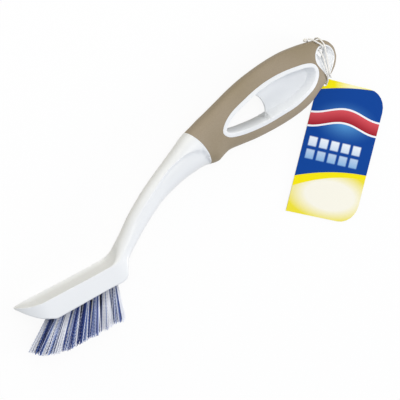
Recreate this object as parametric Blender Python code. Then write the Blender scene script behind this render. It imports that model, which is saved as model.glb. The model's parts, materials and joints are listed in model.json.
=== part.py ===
"""Tile and grout scrub brush, lying on its side as it would on a bench.

A white moulded handle carries the boat-shaped head, a soft grip skin is moulded
over its core, bristle tufts are stapled into drilled holes, and a card tag hangs
on an elastic string that is hitched round the rim of the hang hole.

Frame: +X runs from the nose of the head to the butt of the handle, +Y is the
brush's top (the bristles point to -Y) and +Z is up, square to its flat side.
"""
import math

import bmesh
import bpy
from mathutils import Matrix, Vector

MM = 0.001

# Clearance between pieces that touch or fit, and how far cutting shapes stand proud
FIT_GAP = 0.3 * MM
CUT_MARGIN = 2.0 * MM

# Head: straight part, pointed nose and heel
HEAD_LENGTH = 42.0 * MM
HEAD_HEIGHT = 13.7 * MM
HEAD_WIDTH = 20.0 * MM
HEEL_RISE = 1.1 * MM
DISH_DEPTH = 1.6 * MM
DISH_FADE = 0.6
NOSE_LENGTH = 17.0 * MM
NOSE_LIFT = 2.5 * MM
NOSE_UNDERCUT = 1.5 * MM
NOSE_TIP = 1.0 * MM
NOSE_RAKE = 0.48
NOSE_ROUNDNESS = 0.7
UNDERCUT_RUN = 0.1
CRISPER_TOP = 0.14

# Neck and grip: the butt's distance behind the heel, and above the head's middle
HANDLE_REACH = 198.6 * MM
HANDLE_RISE = 61.4 * MM
NECK_HEIGHT = 13.2 * MM
NECK_WIDTH = 14.0 * MM
GRIP_HEIGHT = 40.8 * MM
GRIP_THICKNESS = 20.0 * MM
SKIN_THICKNESS = 2.0 * MM
BUTT_CAP = 0.9 * MM
COLLAR_RADIUS = 42.5 * MM
CORE_LEAD = 8.0 * MM
FLUTE_DEPTH = 1.4 * MM
FLUTE_EDGE = 2.2 * MM
FLUTE_RUNOUT = 35.0 * MM
FLUTE_FULL_FROM = 0.55

# Oval opening in the grip
RIM_WIDTH = 2.8 * MM
WEB_THICKNESS = 2.6 * MM
WEB_EDGE_RADIUS = 12.0 * MM
WEB_EDGE_INSET = 0.15 * MM
RECESS_MOUTH = 0.84 * GRIP_THICKNESS / 2
RECESS_TAPER_LONG = 0.82
RECESS_TAPER_HIGH = 0.72

# Hang hole
HANG_RADIUS = 6.7 * MM
HANG_TIP_RADIUS = 1.5 * MM
HANG_DROP = 14.2 * MM
HANG_WALL = 1.2 * MM

# Bristle tufts
TUFT_PITCH = 6.6 * MM
TUFT_ROW_SPACING = 6.0 * MM
TUFTS_IN_ROW = 7
STRANDS_IN_TUFT = 17
TUFT_HOLE_RADIUS = 2.05 * MM
TUFT_HOLE_DEPTH = 7.0 * MM
TUFT_SINK = 0.8 * MM
TUFT_FIRST = 5.1 * MM
DRILL_LEAD = 3.5 * MM
BRISTLE_LENGTH = 21.3 * MM
TRIM_RISE = 3.0 * MM
FRONT_LEAN_DEG = 45.0
REAR_LEAN_DEG = 8.0
STRAND_ROOT_RADIUS = 0.27 * MM
STRAND_TIP_RADIUS = 0.40 * MM
STRAND_INSET = 0.1 * MM
STRAND_EMBED = 0.4 * MM
SPLAY_LENGTHWISE = 0.80
SPLAY_SIDEWAYS = 0.62
ANCHOR_THICKNESS = 0.4 * MM
ANCHOR_HEIGHT = 2.4 * MM

# Card tag, a 2 by 3.5 inch card
CARD_LENGTH = 88.9 * MM
CARD_WIDTH = 52.5 * MM
CARD_THICKNESS = 0.45 * MM
CARD_CORNER_RADIUS = 13.0 * MM
CARD_HOLE_RADIUS = 1.6 * MM
CARD_HOLE_FROM_TOP = 3.5 * MM
CARD_HOLE_FROM_SIDE = 5.3 * MM
CARD_HEIGHT_AT_HOLE = 3.5 * MM
CARD_DROP = 21.65 * MM
CARD_HEADING_DEG = -37.0
CARD_SLOPE_DEG = 1.8

# Elastic string
STRING_DIAMETER = 1.1 * MM
STRING_STEP = 2.2 * MM
KNOT_LENGTH = 3.0 * MM
KNOT_HEIGHT = 2.2 * MM

# Fineness of the facets
RING_STEP = 3.8 * MM
INNER_RING_STEP = 6.0 * MM
CORNER_POINTS = 6
HOLE_SIDES = 10
COLLAR_SIDES = 96
OVAL_STEP = 6.0 * MM
WEB_EDGE_STEPS = 10
HANG_STEPS = 14
HANG_TIP_STEPS = 4
CARD_CORNER_STEPS = 6

CUTTERS = "cutters"


def clear_scene():
    for obj in list(bpy.data.objects):
        bpy.data.objects.remove(obj, do_unlink=True)


def make_collection(name):
    collection = bpy.data.collections.new(name)
    bpy.context.scene.collection.children.link(collection)
    return collection


def material(name, colour, roughness, metallic=0.0):
    made = bpy.data.materials.new(name)
    made.use_nodes = True
    shader = made.node_tree.nodes["Principled BSDF"]
    shader.inputs["Base Color"].default_value = (*colour, 1.0)
    shader.inputs["Roughness"].default_value = roughness
    shader.inputs["Metallic"].default_value = metallic
    return made


def add_object(name, mesh, collection, frame):
    obj = bpy.data.objects.new(name, mesh)
    collection.objects.link(obj)
    obj.parent = frame
    if collection.name == CUTTERS:
        obj.hide_render = True
        obj.display_type = "WIRE"
    return obj


def mesh_from(bm, name):
    bmesh.ops.recalc_face_normals(bm, faces=bm.faces)
    mesh = bpy.data.meshes.new(name)
    bm.to_mesh(mesh)
    bm.free()
    return mesh


def apply_modifiers(obj):
    bpy.context.view_layer.update()
    graph = bpy.context.evaluated_depsgraph_get()
    mesh = bpy.data.meshes.new_from_object(obj.evaluated_get(graph))
    obj.modifiers.clear()
    obj.data = mesh


def combine(target, tool, operation):
    modifier = target.modifiers.new(operation.lower(), "BOOLEAN")
    modifier.operation = operation
    modifier.object = tool
    modifier.solver = "EXACT"
    apply_modifiers(target)


def hermite(a, b, slope_a, slope_b, t):
    """A cubic from a to b with the given end slopes, at t from 0 to 1."""
    return [
        (2 * t**3 - 3 * t**2 + 1) * p
        + (t**3 - 2 * t**2 + t) * m
        + (3 * t**2 - 2 * t**3) * q
        + (t**3 - t**2) * n
        for p, q, m, n in zip(a, b, slope_a, slope_b)
    ]


def smooth(rows, step, closed=False, spaced_by=2):
    """Points of a smooth curve through rows, about a step apart."""
    count = len(rows)
    spans = count if closed else count - 1

    def length(i):
        return math.dist(rows[i % count][:spaced_by], rows[(i + 1) % count][:spaced_by])

    def slope(i, span):
        before = i - 1 if closed or i > 0 else i
        after = i + 1 if closed or i < count - 1 else i
        run = sum(length(k) for k in range(before, after))
        return [(q - p) / run * span for p, q in zip(rows[before % count], rows[after % count])]

    points = []
    for i in range(spans):
        span = length(i)
        pieces = max(1, round(span / step))
        for k in range(pieces):
            a, b = rows[i], rows[(i + 1) % count]
            points.append(hermite(a, b, slope(i, span), slope(i + 1, span), k / pieces))
    if not closed:
        points.append(list(rows[-1]))
    return points


# Side outline of the handle, as sections square to its centre line. The tables behind
# the heel are drawn for a handle of this reach and rise, and stretch with the real one.

DRAWN_REACH = 198.6
DRAWN_RISE = 61.4
NOSE_X = 0.0
HEEL_X = NOSE_X + NOSE_LENGTH + HEAD_LENGTH


def point(x, y):
    """A place in the side view, drawn from the heel and the head's middle."""
    return (
        HEEL_X + x / DRAWN_REACH * HANDLE_REACH,
        HEAD_HEIGHT / 2 + y / DRAWN_RISE * HANDLE_RISE,
    )


def underside(x):
    """Height of the head's tufted underside at x."""
    along = (x - NOSE_X - NOSE_LENGTH) / HEAD_LENGTH
    level = HEEL_RISE * max(along, 0.0)
    ahead = max(0.0, UNDERCUT_RUN - along) / UNDERCUT_RUN
    return level + NOSE_UNDERCUT * min(ahead, 1.0) ** 2


def nose_sections():
    """The bow: it narrows to a lifted tip, and its underside rakes up."""
    rows = []
    tip_under = HEAD_HEIGHT + NOSE_LIFT - NOSE_TIP
    for s in (1.0, 0.96, 0.88, 0.7, 0.47, 0.22):
        top = HEAD_HEIGHT + NOSE_LIFT * s**2
        rake = NOSE_RAKE * s + (1 - NOSE_RAKE) * s**2
        bottom = NOSE_UNDERCUT + (tip_under - NOSE_UNDERCUT) * rake
        half_width = max(NOSE_TIP / 2, HEAD_WIDTH / 2 * (1 - s**2) ** NOSE_ROUNDNESS)
        dish = DISH_DEPTH * min(1.0, (1 - s) / DISH_FADE)
        x = NOSE_X + NOSE_LENGTH * (1 - s)
        rows.append((x, (top + bottom) / 2, 0.0, (top - bottom) / 2, half_width, 0.2, dish))
    return rows


def straight_sections():
    """The straight part of the head, from behind the nose to the heel."""
    rows = []
    for along in (0.0, UNDERCUT_RUN, 0.45, 0.85):
        x = NOSE_X + NOSE_LENGTH + HEAD_LENGTH * along
        half = (HEAD_HEIGHT - underside(x)) / 2
        rows.append((x, HEAD_HEIGHT - half, 0.0, half, HEAD_WIDTH / 2, 0.2, DISH_DEPTH))
    return rows


def heel_and_neck_sections():
    """The heel turns up into the neck: along, up, lean, half height, half width."""
    wide, high = HEAD_WIDTH / 2, HEAD_HEIGHT / 2
    slim, neck = NECK_WIDTH / 2, NECK_HEIGHT / 2
    table = (
        (0.5, 0.6, 9.0, 0.95 * high, wide, 0.20, DISH_DEPTH),
        (6.2, 0.5, 12.6, 1.00 * high, wide, 0.24, 0.8 * DISH_DEPTH),
        (10.2, 1.7, 15.7, 1.02 * high, 0.98 * wide, 0.36, 0.4 * DISH_DEPTH),
        (12.8, 4.4, 16.0, 0.93 * neck, 0.92 * wide, 0.55, 0.1 * DISH_DEPTH),
        (15.0, 7.6, 19.0, 0.81 * neck, 0.84 * wide, 0.75, 0.0),
        (18.4, 10.7, 29.6, 0.81 * neck, 1.10 * slim, 0.88, 0.0),
        (24.2, 15.1, 40.0, 0.85 * neck, 1.03 * slim, 0.92, 0.0),
        (32.6, 21.6, 38.0, 0.95 * neck, slim, 0.94, 0.0),
        (40.9, 27.1, 34.5, 1.00 * neck, slim, 0.94, 0.0),
        (48.9, 31.9, 32.5, 1.05 * neck, 1.02 * slim, 0.94, 0.0),
        (58.2, 36.2, 30.0, 1.16 * neck, 1.08 * slim, 0.94, 0.0),
        (67.6, 39.9, 26.0, 1.31 * neck, 1.18 * slim, 0.93, 0.0),
    )
    return [(*point(x, y), *rest) for x, y, *rest in table]


def grip_sections():
    """The grip swells round its oval opening and closes at the butt."""
    half, deep = GRIP_HEIGHT / 2, GRIP_THICKNESS / 2
    table = (
        (76.3, 42.9, 20.0, 0.495 * half, 0.90 * deep, 0.92),
        (83.8, 45.3, 14.5, 0.574 * half, 0.96 * deep, 0.90),
        (93.0, 46.2, 13.5, 0.680 * half, deep, 0.88),
        (97.9, 48.0, 13.5, 0.677 * half, deep, 0.86),
        (102.7, 49.4, 13.0, 0.677 * half, deep, 0.85),
        (112.6, 50.8, 10.0, 0.772 * half, deep, 0.85),
        (122.5, 52.1, 8.0, 0.873 * half, deep, 0.85),
        (132.4, 53.4, 7.0, 0.944 * half, deep, 0.85),
        (142.3, 54.5, 6.0, 0.985 * half, deep, 0.85),
        (152.1, 55.6, 4.0, half, 0.98 * deep, 0.85),
        (162.0, 56.6, 0.0, 0.983 * half, 0.94 * deep, 0.85),
        (171.0, 57.4, -3.0, 0.917 * half, 0.87 * deep, 0.86),
        (179.5, 58.9, -5.0, 0.790 * half, 0.78 * deep, 0.87),
        (186.5, 60.0, -6.0, 0.667 * half, 0.68 * deep, 0.88),
        (191.8, 60.7, -6.5, 0.540 * half, 0.56 * deep, 0.89),
        (195.5, 61.0, -6.0, 0.390 * half, 0.42 * deep, 0.90),
        (197.7, 61.3, -5.0, 0.220 * half, 0.25 * deep, 0.90),
    )
    return [(*point(x, y), *rest, 0.0) for x, y, *rest in table]


def butt_end():
    """The point that closes the butt, just past the last section."""
    x, y = grip_sections()[-1][:2]
    return Vector((x + BUTT_CAP, y, 0.0))


def flute_crease():
    """The edge of the flute in the neck's side, round its end at the collar."""
    drawn = (
        (21.2, 18.8), (29.9, 24.0), (41.6, 31.3), (51.4, 37.4), (60.8, 42.8), (68.0, 45.8),
        (75.1, 47.6), (82.3, 47.4), (86.0, 46.2), (88.2, 44.2), (88.9, 41.2),
    )
    return [Vector(point(x, y)) for x, y in drawn]


def flute_depth(place, crease):
    """How far a side is pressed in: nothing outside the crease, and easing in below it."""
    nearest = None
    for a, b in zip(crease, crease[1:]):
        run = b - a
        share = max(0.0, min(1.0, (place - a).dot(run) / run.length_squared))
        offset = place - (a + run * share)
        if nearest is None or offset.length < nearest[0]:
            nearest = (offset.length, run.cross(offset) < 0)
    distance, inside = nearest
    if not inside or not crease[0].x < place.x < crease[-1].x + FLUTE_EDGE:
        return 0.0
    fade = min(1.0, (place.x - crease[0].x) / FLUTE_RUNOUT)
    return FLUTE_DEPTH * fade * math.sin(math.pi / 2 * min(1.0, distance / FLUTE_EDGE))


def ring(section, corner_points, crease=None):
    """One closed section: four elliptical corners, crisp beside the dish in its top."""
    x, y, lean, half_height, half_width, corner, dish = section
    up = Vector((-math.sin(math.radians(lean)), math.cos(math.radians(lean)), 0.0))
    top_corner = corner - CRISPER_TOP * dish / DISH_DEPTH
    outline = []
    for quarter in range(4):
        side = 1 if quarter in (0, 3) else -1
        top = 1 if quarter < 2 else -1
        rounding = top_corner if quarter < 2 else corner
        for k in range(corner_points):
            angle = math.radians(90 * (quarter + k / (corner_points - 1)))
            across = half_width * (side * (1 - rounding) + rounding * math.cos(angle))
            above = half_height * (top * (1 - rounding) + rounding * math.sin(angle))
            outline.append((across, above))
        if quarter == 0:
            flat = half_width * (1 - rounding)
            for share in (0.5, 0.0, -0.5):
                outline.append((share * flat, half_height - dish * (1 - share**2)))
    points = []
    for across, above in outline:
        place = Vector((x, y, 0.0)) + up * above
        if crease:
            share = min(1.0, abs(across) / (FLUTE_FULL_FROM * half_width))
            across -= math.copysign(share * flute_depth(place.xy, crease), across)
        points.append(place + Vector((0, 0, across)))
    return points


def loft(name, sections, end, corner_points, collection, frame, crease=None):
    """A closed skin through the sections, capped at its start and drawn to a point."""
    bm = bmesh.new()
    rings = [[bm.verts.new(p) for p in ring(s, corner_points, crease)] for s in sections]
    for a, b in zip(rings, rings[1:]):
        for k in range(len(a)):
            n = (k + 1) % len(a)
            bm.faces.new((a[k], a[n], b[n], b[k]))
    bm.faces.new(rings[0])
    pole = bm.verts.new(end)
    for k in range(len(rings[-1])):
        bm.faces.new((rings[-1][k], rings[-1][(k + 1) % len(rings[-1])], pole))
    return add_object(name, mesh_from(bm, name), collection, frame)


def behind(sections, x):
    return [section for section in sections if section[0] > x]


def resized(sections, growth):
    """Sections grown by a distance all round; the thin ones at the butt are left out."""
    last_x = butt_end().x - 4 * SKIN_THICKNESS if growth < 0 else butt_end().x
    return [
        (x, y, lean, a + growth, b + growth, corner, dish)
        for x, y, lean, a, b, corner, dish in sections
        if x < last_x
    ]


def resized_loft(name, sections, growth, collection, frame):
    """A coarser skin at a distance outside or inside the grip's surface."""
    end = butt_end() + Vector((growth, 0, 0))
    return loft(name, resized(sections, growth), end, 4, collection, frame)


# Outlines seen from the side, drawn as the sections are

OVAL_POINTS = (
    (103.1, 49.7), (104.8, 53.0), (108.9, 56.5), (114.5, 59.4), (123.1, 62.2),
    (133.3, 65.0), (143.0, 66.7), (153.9, 67.2), (165.0, 66.3), (174.2, 64.5),
    (178.6, 61.8), (179.9, 57.4), (178.0, 52.7), (173.1, 48.0), (164.8, 44.8),
    (156.2, 42.6), (145.9, 41.8), (134.2, 41.1), (124.5, 41.5), (115.9, 42.5),
    (108.4, 44.4), (104.8, 46.5),
)
WEB_EDGE_CENTRE = point(127.6, 51.2)
HANG_CENTRE = point(187.5, 64.6)
HANG_TIP_LEAN = math.radians(-97.0)
COLLAR_CENTRE = point(47.8, 35.4)


def grow(outline, distance):
    """A closed outline moved out by a distance, along its own normals."""
    grown = []
    count = len(outline)
    for i, (x, y) in enumerate(outline):
        before, after = outline[i - 1], outline[(i + 1) % count]
        along = Vector((after[0] - before[0], after[1] - before[1])).normalized()
        grown.append((x - along.y * distance, y + along.x * distance))
    return grown


def oval(distance=0.0):
    """The rim's outer edge, moved out by a distance."""
    points = smooth([point(x, y) for x, y in OVAL_POINTS], OVAL_STEP, closed=True)
    return grow([tuple(p) for p in points], distance)


def gap_outline():
    """The opening right through the grip: the rim's inner edge up to the web's arc."""
    centre = Vector(WEB_EDGE_CENTRE)
    inner = [Vector(p) for p in oval(-RIM_WIDTH - WEB_EDGE_INSET)]
    kept = [p for p in inner if p.x < centre.x or (p - centre).length < WEB_EDGE_RADIUS - MM]
    upper = max((p for p in kept if p.y > centre.y), key=lambda p: p.x)
    lower = max((p for p in kept if p.y < centre.y), key=lambda p: p.x)
    start = kept.index(upper)
    first = math.atan2(upper.y - centre.y, upper.x - centre.x)
    last = math.atan2(lower.y - centre.y, lower.x - centre.x)
    arc = []
    for k in range(1, WEB_EDGE_STEPS):
        angle = first + (last - first) * k / WEB_EDGE_STEPS
        arc.append(centre + WEB_EDGE_RADIUS * Vector((math.cos(angle), math.sin(angle))))
    return [tuple(p) for p in kept[: start + 1] + arc + kept[start + 1 :]]


def teardrop(distance=0.0):
    """The hang hole's outline: a round top drawn down to a small round tip."""
    radius = HANG_RADIUS + distance
    tip_radius = HANG_TIP_RADIUS + distance
    centre = Vector(HANG_CENTRE)
    down = Vector((math.cos(HANG_TIP_LEAN), math.sin(HANG_TIP_LEAN)))
    tip = centre + down * (HANG_DROP - HANG_TIP_RADIUS)
    open_angle = math.acos((radius - tip_radius) / (tip - centre).length)
    outline = []
    for k in range(HANG_STEPS + 1):
        angle = HANG_TIP_LEAN - open_angle - (2 * math.pi - 2 * open_angle) * k / HANG_STEPS
        outline.append(centre + radius * Vector((math.cos(angle), math.sin(angle))))
    for k in range(HANG_TIP_STEPS + 1):
        angle = HANG_TIP_LEAN + open_angle - 2 * open_angle * k / HANG_TIP_STEPS
        outline.append(tip + tip_radius * Vector((math.cos(angle), math.sin(angle))))
    return [(p.x, p.y) for p in outline]


def prism(name, outline, low, high, collection, frame):
    """A flat outline as a filled curve, extruded between two heights."""
    curve = bpy.data.curves.new(name, "CURVE")
    curve.dimensions = "2D"
    curve.fill_mode = "BOTH"
    curve.extrude = (high - low) / 2
    spline = curve.splines.new("POLY")
    spline.points.add(len(outline) - 1)
    for target, (x, y) in zip(spline.points, outline):
        target.co = (x, y, 0.0, 1.0)
    spline.use_cyclic_u = True
    drawn = add_object(name + "_outline", curve, collection, frame)
    bpy.context.view_layer.update()
    graph = bpy.context.evaluated_depsgraph_get()
    mesh = bpy.data.meshes.new_from_object(drawn.evaluated_get(graph))
    bpy.data.objects.remove(drawn)
    bm = bmesh.new()
    bm.from_mesh(mesh)
    bmesh.ops.remove_doubles(bm, verts=bm.verts, dist=0.001 * MM)
    bmesh.ops.translate(bm, verts=bm.verts, vec=(0, 0, (low + high) / 2))
    bpy.data.meshes.remove(mesh)
    return add_object(name, mesh_from(bm, name), collection, frame)


def tapered_pocket(name, outline, floor_z, mouth_z, end_z, collection, frame):
    """A pocket that has the outline at its mouth and is drawn in to its floor."""
    bm = bmesh.new()
    cx = sum(p[0] for p in outline) / len(outline)
    cy = sum(p[1] for p in outline) / len(outline)
    reach = (end_z - floor_z) / (mouth_z - floor_z)
    floor, mouth = [], []
    for x, y in outline:
        dx, dy = x - cx, y - cy
        in_x, in_y = dx * RECESS_TAPER_LONG, dy * RECESS_TAPER_HIGH
        floor.append(bm.verts.new((cx + in_x, cy + in_y, floor_z)))
        out_x, out_y = in_x + (dx - in_x) * reach, in_y + (dy - in_y) * reach
        mouth.append(bm.verts.new((cx + out_x, cy + out_y, end_z)))
    for k in range(len(outline)):
        n = (k + 1) % len(outline)
        bm.faces.new((floor[k], floor[n], mouth[n], mouth[k]))
    bm.faces.new(floor)
    bm.faces.new(mouth)
    return add_object(name, mesh_from(bm, name), collection, frame)


def disc(name, centre, radius, height, sides, collection, frame):
    bm = bmesh.new()
    bmesh.ops.create_cone(
        bm, cap_ends=True, segments=sides, radius1=radius, radius2=radius, depth=height
    )
    bmesh.ops.translate(bm, verts=bm.verts, vec=(centre[0], centre[1], 0.0))
    return add_object(name, mesh_from(bm, name), collection, frame)


# Tufts


class Tuft:
    """Place and aim of one tuft: its mouth on the underside, and its own axes."""

    def __init__(self, name, x, z):
        self.name = name
        self.mouth = Vector((x, underside(x), z))
        first, last = row_ends()
        share = (x - first) / (last - first)
        lean = math.radians(FRONT_LEAN_DEG + (REAR_LEAN_DEG - FRONT_LEAN_DEG) * share)
        self.out = Vector((-math.sin(lean), -math.cos(lean), 0.0))
        self.side = Vector((math.cos(lean), -math.sin(lean), 0.0))
        self.frame = Matrix((self.side, (0, 0, 1), self.out)).transposed().to_4x4()

    def place(self, depth):
        """Turns +Z along the tuft, with its start at a depth inside the mouth."""
        return Matrix.Translation(self.mouth - self.out * depth) @ self.frame


def row_ends():
    first = NOSE_X + NOSE_LENGTH + TUFT_FIRST
    return first, first + TUFT_PITCH * (TUFTS_IN_ROW - 1)


def tufts():
    first, last = row_ends()
    made = []
    for row, z, shift in (
        ("right", -TUFT_ROW_SPACING, 0.0),
        ("middle", 0.0, -TUFT_PITCH / 2),
        ("left", TUFT_ROW_SPACING, 0.0),
    ):
        for i in range(TUFTS_IN_ROW):
            made.append(Tuft(f"tuft_{row}_{i + 1}", first + shift + TUFT_PITCH * i, z))
    return made


def trim_height(x):
    """The cut ends lie on a line under the head that curves up at the front."""
    ahead = max(0.0, (NOSE_X + NOSE_LENGTH - x) / NOSE_LENGTH)
    return -BRISTLE_LENGTH + TRIM_RISE * ahead


def strand_reach(start, aim):
    """Length along aim from start to the trimmed line."""
    reach = BRISTLE_LENGTH
    for _ in range(12):
        end = start + aim * reach
        reach += (end.y - trim_height(end.x)) / -aim.y
    return reach


def cone_along(bm, start, end, radius_start, radius_end, sides, spin=0.0):
    aim = end - start
    turn = aim.to_track_quat("Z", "Y").to_matrix().to_4x4()
    place = Matrix.Translation((start + end) / 2) @ turn @ Matrix.Rotation(spin, 4, "Z")
    bmesh.ops.create_cone(
        bm,
        cap_ends=True,
        segments=sides,
        radius1=radius_start,
        radius2=radius_end,
        depth=aim.length,
        matrix=place,
    )


def build_tuft(tuft, index, collection, cutters, frame, bristle_material):
    """A tuft folded on its anchor: a slotted plug in the hole, fanned into strands."""
    plug_radius = TUFT_HOLE_RADIUS - FIT_GAP
    plug_bottom = TUFT_HOLE_DEPTH - FIT_GAP
    bm = bmesh.new()
    bottom = tuft.mouth - tuft.out * plug_bottom
    top = tuft.mouth - tuft.out * TUFT_SINK
    cone_along(bm, bottom, top, plug_radius, plug_radius, HOLE_SIDES)
    plug = add_object(tuft.name, mesh_from(bm, tuft.name), collection, frame)
    slot_half = ANCHOR_THICKNESS / 2 + FIT_GAP
    slot_top = plug_bottom - ANCHOR_HEIGHT - FIT_GAP
    slot_bottom = plug_bottom + CUT_MARGIN
    slot = box_on(tuft, "slot", slot_half, 2 * plug_radius, slot_bottom, slot_top, cutters, frame)
    combine(plug, slot, "DIFFERENCE")
    bpy.data.objects.remove(slot)
    bm = bmesh.new()
    golden = math.pi * (3 - math.sqrt(5))
    pack_radius = plug_radius - STRAND_ROOT_RADIUS - STRAND_INSET
    for k in range(STRANDS_IN_TUFT):
        angle = golden * k + 0.7 * index
        radius = pack_radius * math.sqrt((k + 0.5) / STRANDS_IN_TUFT)
        across = tuft.side * (radius * math.cos(angle))
        over = Vector((0, 0, radius * math.sin(angle)))
        start = tuft.mouth - tuft.out * (TUFT_SINK + STRAND_EMBED) + across + over
        splay = (SPLAY_LENGTHWISE * across + SPLAY_SIDEWAYS * over) / BRISTLE_LENGTH
        aim = (tuft.out + splay).normalized()
        end = start + aim * strand_reach(start, aim)
        cone_along(bm, start, end, STRAND_ROOT_RADIUS, STRAND_TIP_RADIUS, 3, angle)
    strands = add_object("strands", mesh_from(bm, "strands"), cutters, frame)
    combine(plug, strands, "UNION")
    bpy.data.objects.remove(strands)
    plug.data.materials.clear()
    plug.data.materials.append(bristle_material)
    return plug


def box_on(tuft, name, half_side, half_across, deep, shallow, collection, frame):
    """A box on a tuft's axes, between two depths inside its mouth."""
    bm = bmesh.new()
    size = Matrix.Diagonal((2 * half_side, 2 * half_across, deep - shallow, 1.0))
    place = tuft.place((deep + shallow) / 2)
    bmesh.ops.create_cube(bm, size=1.0, matrix=place @ size)
    return add_object(name, mesh_from(bm, name), collection, frame)


def build_anchor(tuft, collection, frame, metal):
    """The flat wire staple that a tuft is folded on, driven into the hole's floor."""
    across = TUFT_HOLE_RADIUS * math.cos(math.pi / HOLE_SIDES) - FIT_GAP
    deep = TUFT_HOLE_DEPTH - FIT_GAP
    name = tuft.name.replace("tuft", "anchor")
    shallow = deep - ANCHOR_HEIGHT
    anchor = box_on(tuft, name, ANCHOR_THICKNESS / 2, across, deep, shallow, collection, frame)
    anchor.data.materials.append(metal)


def tuft_holes(all_tufts, cutters, frame):
    bm = bmesh.new()
    for tuft in all_tufts:
        bottom = tuft.mouth - tuft.out * TUFT_HOLE_DEPTH
        outside = tuft.mouth + tuft.out * DRILL_LEAD
        cone_along(bm, bottom, outside, TUFT_HOLE_RADIUS, TUFT_HOLE_RADIUS, HOLE_SIDES)
    return add_object("tuft_holes", mesh_from(bm, "tuft_holes"), cutters, frame)


# Handle and grip


def build_handle_and_grip(collection, cutters, frame, white, soft):
    """The moulded handle with its core, and the soft skin that is moulded on it."""
    past = GRIP_THICKNESS
    skeleton = nose_sections() + straight_sections()
    upper = heel_and_neck_sections() + grip_sections()
    body_sections = skeleton + smooth(upper, RING_STEP)
    handle = loft(
        "handle_body", body_sections, butt_end(), CORNER_POINTS, collection, frame, flute_crease()
    )

    inner = smooth(behind(upper, COLLAR_CENTRE[0] - CORE_LEAD), INNER_RING_STEP)
    sleeve = resized_loft("sleeve", inner, CUT_MARGIN, cutters, frame)
    core = resized_loft("core", inner, -SKIN_THICKNESS - FIT_GAP, cutters, frame)
    cavity = resized_loft("cavity", inner, -SKIN_THICKNESS, cutters, frame)
    collar = disc("collar", COLLAR_CENTRE, COLLAR_RADIUS, 2 * past, COLLAR_SIDES, cutters, frame)
    rim = prism("rim", oval(), -past, past, cutters, frame)
    lining = prism("lining", teardrop(), -past, past, cutters, frame)
    for tool in (core, collar, rim, lining):
        combine(sleeve, tool, "DIFFERENCE")
    combine(handle, sleeve, "DIFFERENCE")

    gap = prism("gap", gap_outline(), -past, past, cutters, frame)
    combine(handle, gap, "DIFFERENCE")
    for side in (1, -1):
        pocket = tapered_pocket(
            "pocket", oval(-RIM_WIDTH), side * WEB_THICKNESS / 2, side * RECESS_MOUTH,
            side * past, cutters, frame,
        )
        combine(handle, pocket, "DIFFERENCE")
    hang = prism("hang", teardrop(-HANG_WALL), -past, past, cutters, frame)
    combine(handle, hang, "DIFFERENCE")

    grip_body = smooth(behind(upper, COLLAR_CENTRE[0]), RING_STEP)
    grip = loft("grip_overmould", grip_body, butt_end(), CORNER_POINTS, collection, frame)
    wide_collar = disc(
        "wide_collar", COLLAR_CENTRE, COLLAR_RADIUS + FIT_GAP, 2 * past, COLLAR_SIDES, cutters, frame
    )
    wide_rim = prism("wide_rim", oval(FIT_GAP), -past, past, cutters, frame)
    wide_lining = prism("wide_lining", teardrop(FIT_GAP), -past, past, cutters, frame)
    for tool in (cavity, wide_collar, wide_rim, wide_lining):
        combine(grip, tool, "DIFFERENCE")
    for obj, finish in ((handle, white), (grip, soft)):
        obj.data.materials.clear()
        obj.data.materials.append(finish)
    return handle, grip


# Tag


def card_outline():
    """The card seen from above, round its hole: two square and two round corners."""
    left = -CARD_HOLE_FROM_SIDE
    right = left + CARD_WIDTH
    top = CARD_HOLE_FROM_TOP
    bottom = top - CARD_LENGTH
    r = CARD_CORNER_RADIUS
    outline = [(left, top), (left, bottom)]
    for corner_y, first in ((bottom + r, -90), (top - r, 0)):
        for k in range(CARD_CORNER_STEPS + 1):
            angle = math.radians(first + 90 * k / CARD_CORNER_STEPS)
            outline.append((right - r + r * math.cos(angle), corner_y + r * math.sin(angle)))
    return outline


def build_card(collection, cutters, frame, finish):
    """The card, its origin in the middle of its hole, sloping down to its far end."""
    card = prism("tag_card", card_outline(), 0.0, CARD_THICKNESS, collection, frame)
    hole = disc("card_hole", (0, 0), CARD_HOLE_RADIUS, 4 * CARD_THICKNESS, 16, cutters, frame)
    combine(card, hole, "DIFFERENCE")
    card.data.materials.clear()
    card.data.materials.append(finish)
    x, y = CARD_HOLE_PLACE
    card.location = (x, y, CARD_HEIGHT_AT_HOLE - HEAD_WIDTH / 2)
    card.rotation_euler = (math.radians(CARD_SLOPE_DEG), 0, math.radians(CARD_HEADING_DEG))


CARD_HOLE_PLACE = (HANG_CENTRE[0], HANG_CENTRE[1] - CARD_DROP)


# The string's way, in millimetres from the middle of the hang hole: from the knot on the
# top edge into the hole, up behind its rim, over the edge and down the front, round the
# card's top edge and up through its hole, back up the front, through the hang hole and up
# behind to the knot.

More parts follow.
